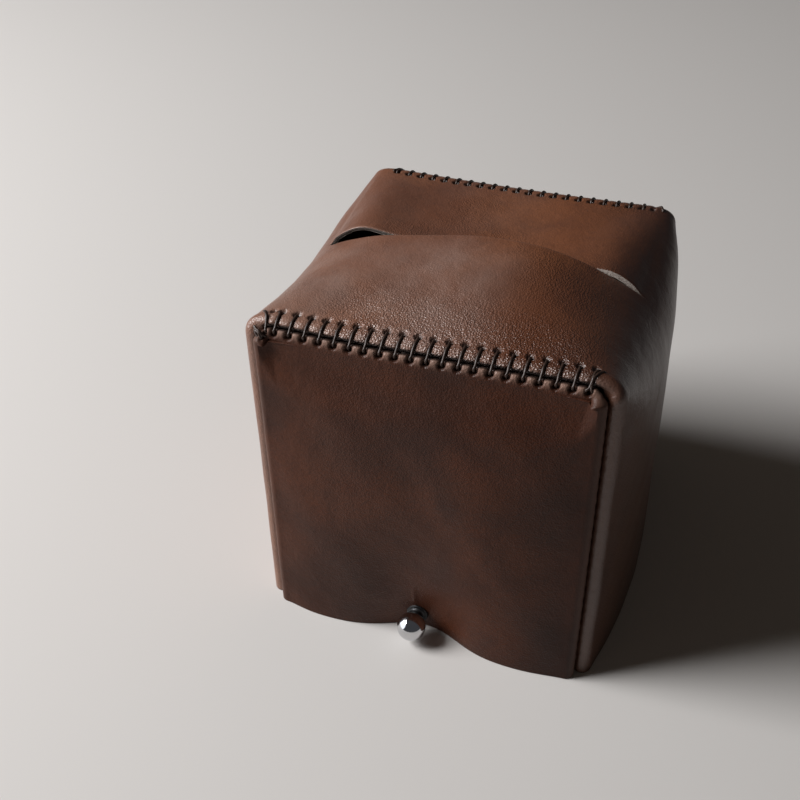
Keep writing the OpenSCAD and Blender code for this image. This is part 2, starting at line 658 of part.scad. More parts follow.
// Stitches through the tab and the back panel, up one side, across and down the other
module strap_stitching() {
    half = strap_w / 2 - tab_stitch_inset;
    low = tab_low + tab_stitch_inset;
    high = tab_low + tab_h - tab_stitch_inset;
    up_n = round((high - low) / tab_pitch);
    over_n = round(2 * half / tab_pitch);
    spots = concat(
        [for (k = [0 : up_n - 1]) [-half, lerp(low, high, k / up_n)]],
        [for (k = [0 : over_n - 1]) [lerp(-half, half, k / over_n), high]],
        [for (k = [0 : up_n]) [half, lerp(high, low, k / up_n)]]);
    outside = seam_thread_r + seam_gap / 2;
    inside = -2 * leather_t - tab_gap - outside;
    route = [for (k = [0 : len(spots) - 1]) let(p = low_pt(BACK, strap_x + spots[k][0], spots[k][1]),
            near = k % 2 == 0 ? inside : outside)
        each [p + [0, near, 0], p + [0, outside + inside - near, 0]]];
    turns = [for (k = [0 : len(spots) - 1]) let(
            a = spots[max(k - 1, 0)], b = spots[min(k + 1, len(spots) - 1)], d = unit(b - a))
        each [[-d[1], 0, d[0]], [-d[1], 0, d[0]]]];
    color(thread) tube(route, seam_thread_r, turns);
}

// Bottom strap, hinged at the crease under its tab
hinge_y = low_pt(BACK, strap_x, 0)[1] - leather_t - tab_gap - leather_t / 2;
hinge_z = leather_t / 2;
strap_end_y = stud_y + leather_t + end_gap;
echo("strap hinge at y, z", hinge_y, hinge_z);
echo("stud at y", stud_y);

module bottom_strap() {
    bend_y = strap_end_y + end_bend_r;
    color(leather) translate([strap_x, 0, 0]) difference() {
        union() {
            translate([-strap_w / 2, hinge_y, hinge_z]) rotate([0, 90, 0])
                cylinder(r = hinge_z, h = strap_w, $fn = round_fn);
            translate([-strap_w / 2, bend_y, 0]) cube([strap_w, hinge_y - bend_y, leather_t]);
            translate([-strap_w / 2, bend_y, end_bend_r]) rotate([0, 90, 0])
                rotate([0, 0, -90]) bend_wall(strap_w);
            translate([0, strap_end_y + leather_t, 0]) rotate([90, 0, 0])
                linear_extrude(height = leather_t) end_outline();
        }
        translate([0, strap_end_y - cut, button_z]) rotate([-90, 0, 0])
            cylinder(d = button_d, h = leather_t + 2 * cut, $fn = round_fn);
        translate([-button_slit_w / 2, strap_end_y - cut, -cut])
            cube([button_slit_w, end_bend_r + cut, button_z + cut]);
    }
}

// The strap's turned-up end seen from the front
module end_outline() {
    translate([-strap_w / 2, end_bend_r]) square([strap_w, button_z - end_bend_r]);
    intersection() {
        translate([0, button_z]) circle(d = strap_w, $fn = round_fn);
        translate([-strap_w / 2, button_z]) square([strap_w, strap_w / 2]);
    }
}

// A quarter of a tube's wall, w long, as the strap's bend
module bend_wall(w) {
    intersection() {
        difference() {
            cylinder(r = end_bend_r, h = w, $fn = round_fn);
            translate([0, 0, -cut])
                cylinder(r = end_bend_r - leather_t, h = w + 2 * cut, $fn = round_fn);
        }
        cube([end_bend_r, end_bend_r, w]);
    }
}

// Ball stud
ball_r = ball_d / 2;
ball_y = disc_t + neck_len + sqrt(ball_r * ball_r - neck_d * neck_d / 4);

module stud_head() {
    color(metal) translate([strap_x, stud_y, stud_z]) rotate([90, 0, 0]) difference() {
        union() {
            cylinder(d = disc_d, h = disc_t, $fn = round_fn);
            cylinder(d = neck_d, h = ball_y, $fn = round_fn);
            translate([0, 0, ball_y]) sphere(d = ball_d, $fn = round_fn);
        }
        translate([0, 0, -cut])
            cylinder(d = screw_d + 2 * screw_fit, h = screw_reach + 2 * screw_fit + cut, $fn = round_fn);
    }
}

module stud_screw() {
    color(metal) translate([strap_x, stud_y + leather_t, stud_z]) rotate([90, 0, 0]) difference() {
        union() {
            translate([0, 0, -screw_head_t])
                cylinder(d = screw_head_d, h = screw_head_t, $fn = round_fn);
            cylinder(d = screw_d, h = leather_t + screw_reach, $fn = round_fn);
        }
        translate([-screw_head_d / 2 - cut, -drive_slot / 2, -screw_head_t - cut])
            cube([screw_head_d + 2 * cut, drive_slot, drive_slot + cut]);
    }
}

body_strip();
front_panel();
back_panel();
front_lacing();
back_lacing();
seam_thread_front_left();
seam_thread_front_right();
seam_thread_back_left();
seam_thread_back_right();
strap_tab();
strap_stitching();
bottom_strap();
stud_head();
stud_screw();
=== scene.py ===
"""Leather tissue box cover: the looks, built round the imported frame."""
import math

import bpy
import numpy as np
from mathutils import Matrix, Vector


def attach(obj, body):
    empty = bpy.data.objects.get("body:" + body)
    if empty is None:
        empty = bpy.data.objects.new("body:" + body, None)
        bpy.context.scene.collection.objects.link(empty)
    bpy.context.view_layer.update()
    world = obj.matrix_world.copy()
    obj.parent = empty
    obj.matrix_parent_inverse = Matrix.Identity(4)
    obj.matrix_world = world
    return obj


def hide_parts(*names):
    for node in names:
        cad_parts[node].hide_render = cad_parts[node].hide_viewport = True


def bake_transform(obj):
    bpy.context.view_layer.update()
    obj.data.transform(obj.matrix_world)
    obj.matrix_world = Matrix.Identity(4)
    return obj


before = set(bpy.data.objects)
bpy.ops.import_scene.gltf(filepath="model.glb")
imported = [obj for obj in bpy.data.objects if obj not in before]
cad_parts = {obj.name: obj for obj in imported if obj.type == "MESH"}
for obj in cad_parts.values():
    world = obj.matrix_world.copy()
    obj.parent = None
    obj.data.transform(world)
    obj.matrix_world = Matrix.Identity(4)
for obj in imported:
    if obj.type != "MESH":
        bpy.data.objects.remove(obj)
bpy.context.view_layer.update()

MM = 0.001

# The cover's driving sizes, in mm, as the construction has them
SEAM_W, SEAM_D = 116.0, 116.0
FRONT_H, BACK_DROP = 120.8, 2.2
SEAM_R, BEND_R = 5.0, 30.0
SIDE_BOW, TOP_BOW = 8.0, 1.4
HEM_DRAW_IN, BACK_NARROW = 2.0, 4.6
LEATHER_T = 1.8
SIDE_ROLL_R, TOP_ROLL_R = 3.0, 5.0
SEAM_ALLOWANCE, BUTT_TAIL, SEAM_GAP = 4.0, 0.6, 0.3
PANEL_BOW, FRONT_FLARE, FRONT_TWIST, BACK_FLARE = 4.0, 5.3, 1.9, 2.0
HEM_SWELL, FRONT_PINCH, BACK_PINCH = 2.1, 9.3, 4.0
FRONT_SAG, BACK_SAG = 0.8, 1.2
SLIT_HALF, SLIT_Y, SLIT_GAP = 57.0, 3.0, 2.4
LIP_RISE, LIP_DIP, CROWN_X = 6.5, 2.6, 12.0
REAR_RISE, GAP_SHARE, CLOSE_SHARE = (3.1, 2.3), (1.35, 0.25), (0.03, 0.06)
STITCHES = 22
LACE_LEFT, LACE_RIGHT, LACE_D = 1.9, 5.2, 1.1
HOLE_BACK, HOLE_DOWN = 6.0, 1.7
SEAM_THREAD_D, RUN_PITCH = 0.8, 5.0
STRAP_X, STRAP_W, TAB_H, TAB_GAP, CREASE_GAP = -3.0, 20.0, 15.0, 0.3, 0.3
END_GAP, END_BEND_R = 4.4, 3.6
BUTTON_Z, BUTTON_D, BUTTON_SLIT_W = 7.6, 5.2, 0.6
STUD_Z, BALL_D, NECK_D, NECK_LEN, DISC_D, DISC_T = 7.0, 10.4, 5.0, 1.8, 8.0, 1.0

# Shapes of the bulges, as exponents and shares of what they follow
FRONT_BEND_EXP, BACK_BEND_EXP, FLARE_EXP, CROWN_EXP, TAIL_EXP = 2.2, 1.4, 1.5, 2.3, 3
HEM_EXP, RISE_EXP = 4, 8
CROWN_SHARE, GAP_PEAK_SHARE, GAP_MIDDLE_SHARE = 0.907, 0.8, 0.5
RISE_PLACE_SHARE, RISE_WIDTH_SHARE = 0.8, 0.17
SAG_PLACE_SHARE, SAG_WIDTH_SHARE = -0.43, 0.48
PINCH_PLACE_SHARE, PINCH_WIDTH_SHARE = -0.01, 0.31
BUTT_TURN, SEAM_TURN = 45.0, 90.0

FRONT, BACK = -1, 1
HW, HD = SEAM_W / 2, SEAM_D / 2


# Small helpers for shapes
def smooth(t):
    c = np.clip(t, 0, 1)
    return c * c * (3 - 2 * c)


def bell(x, middle, width):
    return np.exp(-(((x - middle) / width) ** 2))


def lerp(a, b, f):
    return a + (b - a) * f


def graded(length, first, last, most, growth=0.12):
    """Shares of a length, in steps from first at its start to last at its end and at most most."""
    at, places = 0.0, [0.0]
    while at < length:
        at += min(first + growth * at, last + growth * max(length - at, 0), most)
        places.append(at)
    return np.array(places) / places[-1]


def even(length, step):
    """Shares from 0 to 1 of a length, in equal steps of at most step."""
    return np.linspace(0, 1, math.ceil(length / step) + 1)


def unit_rows(v):
    return v / np.maximum(np.linalg.norm(v, axis=-1, keepdims=True), 1e-9)


# The seam path, as one number: 0 to 1 left wall, 1 to 2 left bend, 2 to 3 top,
# 3 to 4 right bend, 4 to 5 right wall
PATH_END, MID_LEFT, MID_RIGHT = 5, 1.5, 3.5


def along(t, stretch):
    """Share of a stretch of the path that lies behind t."""
    return np.clip(t - stretch, 0, 1)


def bend_angles(t):
    return np.radians(90 * along(t, 1)), np.radians(90 * along(t, 3))


def path_at(t, w, h, r):
    left, right = bend_angles(t)
    x = -w + r * (1 - np.cos(left)) + 2 * (w - r) * along(t, 2) + r * np.sin(right)
    z = (h - r) * (along(t, 0) - along(t, 4)) + r * np.sin(left) - r * (1 - np.cos(right))
    return x, z


def out_at(t):
    """Outward direction of the path, as its x and z."""
    left, right = bend_angles(t)
    return np.sin(right) - np.cos(left), np.sin(left) + np.cos(right) - 1


def turned(t):
    """1 where the seam is a turned one, 0 where it is whip-stitched."""
    return 1 - smooth(along(t, 1)) + smooth(along(t, 3))


def turn_at(t):
    return BUTT_TURN + SEAM_TURN * turned(t)


def roll_at(t):
    return lerp(TOP_ROLL_R, SIDE_ROLL_R, turned(t))


def tail_at(t):
    return lerp(BUTT_TAIL, SEAM_ALLOWANCE, turned(t) ** TAIL_EXP)


def rolled(t):
    """Length of a piece's roll."""
    return roll_at(t) * np.radians(turn_at(t))


def edge_h(side):
    return FRONT_H if side == FRONT else FRONT_H - BACK_DROP


def edge_w(side):
    return HW if side == FRONT else HW - BACK_NARROW


def flare_at(side, x):
    return FRONT_FLARE + FRONT_TWIST * x / HW if side == FRONT else BACK_FLARE


def lace_pitch(side):
    return (2 * edge_w(side) - LACE_LEFT - LACE_RIGHT) / (STITCHES - 1)


def base_at(t, f, r):
    """Path at the share f of the depth, 0 at the front and 1 at the back seam: x, z and drop."""
    w = lerp(edge_w(FRONT), edge_w(BACK), f)
    h = lerp(edge_h(FRONT), edge_h(BACK), f)
    px, pz = path_at(t, w, h, r)
    drop = np.maximum(1 - pz / h, 0)
    x = px * (1 - drop * HEM_DRAW_IN / HW)
    across = np.maximum(0, 1 - (x / HW) ** 2)
    dip = lerp(FRONT_SAG * bell(x / HW, SAG_PLACE_SHARE, SAG_WIDTH_SHARE), BACK_SAG, f)
    return x, pz - dip * across * out_at(t)[1] ** 2 * (2 * f - 1) ** 2, drop


def seam_at(t, side):
    """Place of the seam itself, as x, y and z."""
    x, z, drop = base_at(t, 0.0 if side == FRONT else 1.0, SEAM_R)
    return x, side * (HD + flare_at(side, x) * drop ** FLARE_EXP), z


# A rolled edge's profile is drawn from the seam as e towards the edge and o outwards
def facing(turn):
    return np.sin(np.radians(turn)), np.cos(np.radians(turn))


def roll_end(t):
    back = SEAM_GAP / 2 + tail_at(t) * np.cos(np.radians(turn_at(t) - BUTT_TURN))
    s, c = facing(BUTT_TURN)
    return -s * back, c * back


def roll_pt(t, turn):
    (e0, o0), (s, c), (se, ce) = roll_end(t), facing(turn), facing(turn_at(t))
    return e0 + roll_at(t) * (s - se), o0 + roll_at(t) * (c - ce)


def tail_pt(t, share):
    """Point of the tail at that share of its length past the roll."""
    (e0, o0), (s, c) = roll_end(t), facing(turn_at(t))
    return e0 + c * tail_at(t) * share, o0 - s * tail_at(t) * share


TAIL_ROWS, ROLL_ROWS = 3, 10


def profile_rows(t):
    """Rows of a rolled edge from its cut to the roll's end: e, o and the distance from the cut."""
    tail = tail_at(t)
    rows = [(*tail_pt(t, share), tail * (1 - share))
            for share in np.linspace(1, 1 / TAIL_ROWS, TAIL_ROWS)]
    return rows + [(*roll_pt(t, turn_at(t) * (1 - share)), tail + rolled(t) * share)
                   for share in np.linspace(0, 1, ROLL_ROWS)]


# The slit's lips: the front one rises, and the rear one dips behind it and rises near both ends
def crown(x):
    reach = CROWN_SHARE * HW
    w = np.where(x < CROWN_X, reach + CROWN_X, reach - CROWN_X)
    return np.maximum(0, 1 - ((x - CROWN_X) / w) ** 2) ** CROWN_EXP


def left_right(x, pair):
    """The first of the pair at the slit's left end, the second at its right end."""
    return lerp(pair[0], pair[1], smooth(x / SLIT_HALF + 0.5))


def slit_close(x):
    return smooth((1 - np.minimum(np.abs(x) / SLIT_HALF, 1)) / left_right(x, CLOSE_SHARE))


def lip_gap(x):
    """Half the gap between the lips, widest near both ends of the slit."""
    wider = lerp(GAP_MIDDLE_SHARE, 1, smooth(np.abs(x) / SLIT_HALF / GAP_PEAK_SHARE))
    return SLIT_GAP / 2 * slit_close(x) * wider * left_right(x, GAP_SHARE)


def lip_lift(side, x, y):
    if side == BACK:
        ends = slit_close(x) * bell(np.abs(x) / HW, RISE_PLACE_SHARE, RISE_WIDTH_SHARE)
        lift = left_right(x, REAR_RISE) * ends - LIP_DIP * crown(x)
        return lift * smooth((HD - y) / (HD - SLIT_Y))
    return LIP_RISE * crown(x) * smooth((y + HD) / (HD + SLIT_Y))


def bend_at(f):
    """The strip's bend radius at the share f of the depth."""
    s = np.abs(2 * f - 1)
    return SEAM_R + (BEND_R - SEAM_R) * (1 - s ** np.where(f < 0.5, FRONT_BEND_EXP, BACK_BEND_EXP))


def strip_pt(side, t, y, o):
    """Point of the strip's grain side on one side of the slit, at depth y and o out of the path."""
    yf, yb = seam_at(t, FRONT)[1], seam_at(t, BACK)[1]
    f = np.clip((y - yf) / (yb - yf), 0, 1)
    s = np.abs(2 * f - 1)
    x, z, _ = base_at(t, f, bend_at(f))
    ox, oz = out_at(t)
    rise = o + lerp(TOP_BOW, SIDE_BOW, turned(t)) * (1 - s * s)
    x, z = x + ox * rise, z + oz * rise
    return np.stack([x, y + 0 * x, z + np.where(oz > 0, lip_lift(side, x, y), 0)], -1)


def panel_rise(side, x, z):
    v, u = np.clip(z / edge_h(side), 0, 1), np.clip(x / HW, -1, 1)
    pinch = FRONT_PINCH if side == FRONT else BACK_PINCH
    hem = HEM_SWELL * (1 - u ** HEM_EXP) - pinch * bell(u, PINCH_PLACE_SHARE, PINCH_WIDTH_SHARE)
    return (PANEL_BOW * (1 - u * u) * np.sin(np.radians(180 * v))
            + hem * (1 - v) ** 2 * (1 - u ** RISE_EXP))


def off_seam(side, t, e, o):
    """Place e out of the seam along the path's own outward direction, and o out of the cover."""
    x, y, z = seam_at(t, side)
    ox, oz = out_at(t)
    return x + e * ox, y + side * o, z + e * oz


def panel_pt(side, t, e, o):
    """Point of a panel's rolled edge."""
    x, y, z = off_seam(side, t, e, o)
    return np.stack([x, y + side * panel_rise(side, x, z), z], -1)


# A panel's face is a patch between its rolled edges and the hem. Its shares of the way up
# and across follow the path's own stations, of which a wall has 7, a bend 6 and the top 22
WALL_N, BEND_N, TOP_N = 7, 6, 22
SIDE_N, ACROSS_N = WALL_N + BEND_N / 2, TOP_N + BEND_N
KNEE = WALL_N / SIDE_N

# How far down a panel's face its upper rim's own level reaches, in mm
RIM_FALL, RIM_FALL_AT_CORNER, RIM_FALL_REACH, RIM_BLEND = 22.0, 9.0, 24.0, 6.0


def t_up(v):
    n = v * SIDE_N
    return np.where(n < WALL_N, n / WALL_N, 1 + (n - WALL_N) / BEND_N)


def t_across(u):
    n, half = u * ACROSS_N, BEND_N / 2
    return np.select([n < half, n < half + TOP_N], [MID_LEFT + n / BEND_N, 2 + (n - half) / TOP_N],
                     3 + (n - half - TOP_N) / BEND_N)


def rim(side, t):
    return np.stack(off_seam(side, t, *roll_pt(t, 0.0)), -1)


def face_level(side, x, z, o):
    """Depth of the panel at x and z, o out of its seams, before it swells."""
    drop = np.clip(1 - z / edge_h(side), 0, 1)
    return side * (HD + flare_at(side, x) * drop ** FLARE_EXP + o)


def face_pt(side, u, v):
    """Point of a panel's face at the shares u across and v up."""
    left, right, top = rim(side, t_up(v)), rim(side, PATH_END - t_up(v)), rim(side, t_across(u))
    first, last = rim(side, MID_LEFT), rim(side, MID_RIGHT)
    o_side, o_corner, o_top = (roll_pt(t, 0.0)[1] for t in (0.0, MID_LEFT, t_across(u)))
    over = top - lerp(first, last, u[..., None])
    p = lerp(left, right, u[..., None]) + v[..., None] * over
    # Above the knee the side rims run level, so the rows climb evenly from there to the top rim
    knee_z = rim(side, t_up(KNEE))[2] + KNEE * over[..., 2]
    climb = lerp(knee_z, top[..., 2], (v - KNEE) / (1 - KNEE))
    p[..., 2] = np.where(v > KNEE, climb, p[..., 2])
    x, z = p[..., 0], p[..., 2]
    inward = smooth(np.minimum(u, 1 - u) * SEAM_W / RIM_FALL_REACH)
    near_top = 1 - smooth((top[..., 2] - z) / lerp(RIM_FALL_AT_CORNER, RIM_FALL, inward))
    y = face_level(side, x, z, lerp(o_side, o_top, near_top))
    for border, end, reach in ((left, first, x - left[..., 0]), (right, last, right[..., 0] - x)):
        corner = 1 - smooth((end[2] - border[..., 2]) / RIM_FALL_AT_CORNER)
        there = face_level(side, border[..., 0], border[..., 2], lerp(o_side, o_corner, corner))
        y = y + (border[..., 1] - there) * bell(reach, 0, RIM_BLEND)
    p[..., 1] = y + side * panel_rise(side, x, z)
    return p


def flat_behind(side, back):
    """Half the strip's flat width and its bend radius at that distance behind a seam."""
    f = back / SEAM_D if side == FRONT else 1 - back / SEAM_D
    return lerp(edge_w(FRONT), edge_w(BACK), f) - bend_at(f), bend_at(f)


def path_no(side, x, back):
    """The path number at a place x along a stitched edge, or that far behind it on the strip."""
    flat, r = flat_behind(side, back)
    over = np.clip((np.abs(x) - flat) / r, 0, 1)
    bend = np.degrees(np.arcsin(over)) / 90
    return np.where(over <= 0, 2 + (x + flat) / (2 * flat), np.where(x < 0, 2 - bend, 3 + bend))


# The stitches lean by a small share of their pitch. The first one in front sits closer to the
# second one, and its marks reach a little further
SLANT_SHARE, FIRST_SHIFT, FIRST_HOLD, FIRST_HOLD_END = 0.12, 0.25, 0.2, 0.75


def first_shift(side, k):
    return FIRST_SHIFT * (k == 0) * (side == FRONT)


def over_bend(side, x, along_bend):
    """Turns a length along the row of holes into a place or back, by what it does on the bend."""
    flat, r = flat_behind(side, HOLE_BACK)
    over = np.maximum(np.abs(x) - flat, 0)
    return -side * np.sign(x) * (np.abs(x) - over + r * along_bend(np.minimum(over / r, 1)))


def lace_x(side, k, share):
    """Place of whip stitch k along its edge, a share of a pitch past its upper hole."""
    length = LACE_LEFT - edge_w(side) + (k + first_shift(side, k) - share) * lace_pitch(side)
    return over_bend(side, length, np.sin)


def from_stitch(side, x, c, hole_c, hole_share):
    """Count of stitches up to a place, the nearest stitch and the distance beside it."""
    share = lerp(SLANT_SHARE / 2, hole_share, np.clip(c / hole_c, 0, 1))
    phase = (over_bend(side, x, np.arcsin) - LACE_LEFT + edge_w(side)) / lace_pitch(side) + share
    k = np.clip(np.round(phase - FIRST_HOLD * (phase < FIRST_HOLD_END)), 0, STITCHES - 1)
    return phase, k, (phase - k - first_shift(side, k)) * lace_pitch(side)


# Relief of the leather at the seams, in mm
PIT_R, PIT_DEPTH, PIT_RIM, PIT_RIM_R, PIT_RIM_W = 1.15, 1.6, 0.13, 1.8, 0.45
GROOVE_R, GROOVE_DEPTH, GROOVE_PAST, GROOVE_FADE = 0.75, 0.35, 0.4, 0.8
STRIP_PUFF, PANEL_PUFF, PUFF_LEVEL = 0.2, 0.7, 0.35
PUFF_PLACE, PUFF_WIDTH = 0.9, 1.6
CUT_ROUND_R, CUT_ROUND_DEPTH = 1.4, 1.0
WAVE_DEPTH, WAVE_REACH, WAVE_DRIFT, WAVE_DRIFT_LENGTH = 0.22, 2.4, 0.8, 17
EASE_DEPTH, EASE_PLACE, EASE_WIDTH, STRIP_EASE_SHARE = 0.6, 8.0, 7.5, 0.5

# Where the puffs fade past both ends of a row of stitches, in stitches
ROW_START, ROW_END, ROW_FADE = 0.9, 0.1, 0.5

# Wear with painted highlight, and painted shade, at the seams: their amounts, places and widths in
# mm
WEAR_AND_HIGHLIGHT_PLACE, WEAR_AND_HIGHLIGHT_WIDTH, WEAR_AND_HIGHLIGHT_BETWEEN = 0.6, 1.5, 2.4
ROLL_WEAR_AND_HIGHLIGHT, ROLL_WEAR_AND_HIGHLIGHT_PLACE, ROLL_WEAR_AND_HIGHLIGHT_WIDTH = 0.35, 2.5, 2.5
GROOVE_SHADE, EDGE_SHADE_END, EDGE_SHADE_FADE = 0.55, 0.95, 0.5

# Slow waves of hand-formed leather: their turn per mm along x, y and z, phase and height
UNEVEN_WAVES = ((0.19, 0.05, 0.11, 0.4, 0.10), (-0.07, 0.21, 0.13, 1.9, 0.08),
                (0.29, -0.17, 0.23, 3.1, 0.05), (0.11, 0.33, -0.27, 4.4, 0.04))
UNEVEN_FROM_SEAM = 12


def groove_at(aside, c, hole_c):
    """1 under the middle of a stitch, between its hole and the seam."""
    return bell(aside, 0, GROOVE_R) * smooth((hole_c + GROOVE_PAST - c) / GROOVE_FADE)


def stitch_relief(side, x, c, hole_c, hole_share, puff):
    """Relief at a whip-stitched edge: x along it, c from the cut edge, holes at hole_c."""
    phase, k, aside = from_stitch(side, x, c, hole_c, hole_share)
    near = smooth((STITCHES - ROW_END - phase) / ROW_FADE) * smooth((phase + ROW_START) / ROW_FADE)
    between = 0.5 - 0.5 * np.cos(2 * np.pi * np.clip(phase - k, -0.5, 0.5))
    swell = puff * (between - PUFF_LEVEL) * near * bell(c, PUFF_PLACE, PUFF_WIDTH)
    r = np.hypot(aside, c - hole_c)
    pit = -PIT_DEPTH * np.exp(-(r / PIT_R) ** 3) + PIT_RIM * bell(r, PIT_RIM_R, PIT_RIM_W)
    return swell - GROOVE_DEPTH * groove_at(aside, c, hole_c) + pit


def ease_relief(past, turned_share):
    """A turned edge falls away softly towards its roll, which starts at past = 0."""
    return -EASE_DEPTH * turned_share * bell(past, EASE_PLACE, EASE_WIDTH)


def unevenness(p, past):
    x, y, z = p[..., 0], p[..., 1], p[..., 2]
    waves = sum(height * np.sin(kx * x + ky * y + kz * z + shift)
                for kx, ky, kz, shift, height in UNEVEN_WAVES)
    return waves * smooth(past / UNEVEN_FROM_SEAM)


def edge_relief(side, t, p, c, holes, puff, ease_share):
    """Relief of rows of leather from a seam inwards: points p, at distance c from the cut."""
    seam_share = turned(t)[:, None]
    past = np.maximum(c - tail_at(t)[:, None], 0)
    cut = -CUT_ROUND_DEPTH * np.maximum(0, 1 - c / CUT_ROUND_R) ** 2
    stitched = stitch_relief(side, p[..., 0], c, *holes, puff) + cut
    # A turned seam is drawn in at each running stitch inside
    z = p[..., 2]
    drift = WAVE_DRIFT * np.sin(z / WAVE_DRIFT_LENGTH)
    pull = 0.5 + 0.5 * np.cos(2 * np.pi * z / RUN_PITCH + drift)
    wave = -WAVE_DEPTH * pull * bell(past, 0, WAVE_REACH)
    return (stitched * (1 - seam_share) + wave * seam_share
            + ease_share * ease_relief(past, seam_share) + unevenness(p, past))


def seam_marks(side, t, x, c, hole_c, hole_share):
    """Wear with painted highlight where the leather bends and rubs, most between two stitches, and
    painted shade in the holes, under the thread and along the cut edge."""
    _, _, aside = from_stitch(side, x, c, hole_c, hole_share)
    flat, past = (1 - turned(t))[:, None], np.maximum(c - tail_at(t)[:, None], 0)
    # Wear with painted highlight: lighter at the rolls, and brightest on the puffs between stitches
    crest = smooth(np.abs(aside) / lace_pitch(side) * WEAR_AND_HIGHLIGHT_BETWEEN)
    wear_and_highlight = (bell(past, WEAR_AND_HIGHLIGHT_PLACE, WEAR_AND_HIGHLIGHT_WIDTH) * flat * crest
            + ROLL_WEAR_AND_HIGHLIGHT * bell(past, ROLL_WEAR_AND_HIGHLIGHT_PLACE, ROLL_WEAR_AND_HIGHLIGHT_WIDTH) * (1 - flat))
    # Painted shade: nearly black in the holes, under the thread and in the gap at the cut edge
    hole = np.exp(-(np.hypot(aside, c - hole_c) / PIT_R) ** 4)
    painted_shade = np.maximum(hole, GROOVE_SHADE * groove_at(aside, c, hole_c))
    painted_shade = np.maximum(painted_shade, smooth((EDGE_SHADE_END - c) / EDGE_SHADE_FADE))
    return np.clip(wear_and_highlight, 0, 1), painted_shade * flat


def placed(name, data):
    obj = bpy.data.objects.new(name, data)
    bpy.context.scene.collection.objects.link(obj)
    return obj


class Skin:
    """A mesh in the making: points in mm, faces and the kind of surface of each face."""
    GRAIN, FLESH, RAW, CUT = range(4)

    def __init__(self):
        self.points, self.faces, self.kinds, self.count = [], [], [], 0
        self.marks = {"wear_and_highlight": [], "painted_shade": []}

    def add(self, points, wear_and_highlight=0.0, painted_shade=0.0):
        shape = points.shape[:-1]
        n = int(np.prod(shape))
        self.points.append(points.reshape(-1, 3))
        self.marks["wear_and_highlight"].append(np.broadcast_to(wear_and_highlight, shape).reshape(-1))
        self.marks["painted_shade"].append(np.broadcast_to(painted_shade, shape).reshape(-1))
        index = np.arange(self.count, self.count + n).reshape(shape)
        self.count += n
        return index

    def face(self, corners, kind, flip=False):
        corners = [int(v) for v in corners]
        corners = [v for i, v in enumerate(corners) if v != corners[i - 1]]
        if len(corners) > 2:
            self.faces.append(corners[::-1] if flip else corners)
            self.kinds.append(kind)

    def quads(self, index, kind, flip=False):
        ring = index[:-1, :-1], index[1:, :-1], index[1:, 1:], index[:-1, 1:]
        for quad in np.stack(ring, -1).reshape(-1, 4).tolist():
            self.face(quad, kind, flip)

    def strip(self, one, two, kind, flip=False):
        self.quads(np.stack([one, two], 0), kind, flip)

    def cap(self, outer, inner, rows, kind, flip=False):
        """Closes the fine edge outer against the coarse inner, whose points sit at rows of it."""
        for j, (a, b) in enumerate(zip(rows[:-1], rows[1:])):
            self.face([*outer[a:b + 1], inner[j + 1], inner[j]], kind, flip)

    def build(self, name, materials, crease=50):
        mesh = bpy.data.meshes.new(name)
        points = np.concatenate(self.points) * MM
        mesh.from_pydata(points.tolist(), [], self.faces)
        mesh.polygons.foreach_set("material_index", np.array(self.kinds, np.int32))
        for key, values in self.marks.items():
            mark = mesh.attributes.new(key, "FLOAT", "POINT")
            mark.data.foreach_set("value", np.concatenate(values).astype(np.float32))
        for m in materials:
            mesh.materials.append(m)
        mesh.shade_smooth()
        mesh.set_sharp_from_angle(angle=math.radians(crease))
        mesh.validate()
        return placed(name, mesh)


def grid_normals(p, sign):
    return sign * unit_rows(np.cross(np.gradient(p, axis=0), np.gradient(p, axis=1)))


# Steps of the meshes, in mm
WALL_STEP, TOP_STEP, BEND_COLUMNS = 1.0, 0.5, 42
LIP_STEPS, PANEL_STEPS = (0.4, 0.35, 1.9), (1.2, 0.5, 1.2)
KNEE_ROWS, FLESH_ROW_STEP = 9, 3

# The slit's edges: rounding, fraying of the raw cut, and how far the rear cut leans, in mm
LIP_ROUND_R, LIP_ROUND_DEPTH = 0.5, 0.25
CUT_SHARES, CUT_SWELL, CUT_FADE = (0.33, 0.67), 0.05, 0.3
FRAYS = ((0.1, 4.1, 7), (0.08, 9.7, 3))
LEAN, LEAN_LEFT_FADE, LEAN_RIGHT_FROM, LEAN_RIGHT_FADE = 0.5, 20, 36, 10
# Wear with painted highlight along the slit, and painted shade behind the front lip, as amounts and
# widths in mm, and the painted shade in the cut's depth
LIP_SHADE, LIP_SHADE_WIDTH, LIP_WEAR_AND_HIGHLIGHT_WIDTH, FRONT_LIP_WEAR_AND_HIGHLIGHT, REAR_LIP_WEAR_AND_HIGHLIGHT = 0.4, 1.6, 0.7, 0.5, 0.7
CUT_SHADE_SHARE, CUT_SHADE_FADE = 0.5, 10


# The strip: left side, top and right side in one piece
def stations():
    wall = even(FRONT_H - SEAM_R, WALL_STEP)
    top = even(SEAM_W, TOP_STEP)
    bend = np.linspace(0, 1, BEND_COLUMNS)
    return np.concatenate([wall[:-1], 1 + bend[:-1], 2 + top[:-1], 3 + bend[:-1], 4 + wall])


def strip_half(side, t):
    """Grain side of one half of the strip, from its tail to the slit, with each row's place."""
    seam_y = seam_at(t, side)[1]
    profile = profile_rows(t)
    rows = [strip_pt(side, t, seam_y + side * e, o) for e, o, _ in profile]
    across = [c for _, _, c in profile]
    e, o, c = profile[-1]
    start = seam_y + side * e
    middle = strip_pt(FRONT, t, SLIT_Y, o)[:, 0]
    end = SLIT_Y + side * lip_gap(middle) * (np.abs(middle) < SLIT_HALF)
    for share in graded(HD, *LIP_STEPS)[1:]:
        y = lerp(start, end, share)
        rows.append(strip_pt(side, t, y, o))
        across.append(c + np.abs(y - start))
    return np.stack(rows, 1), np.stack(across, 1), middle


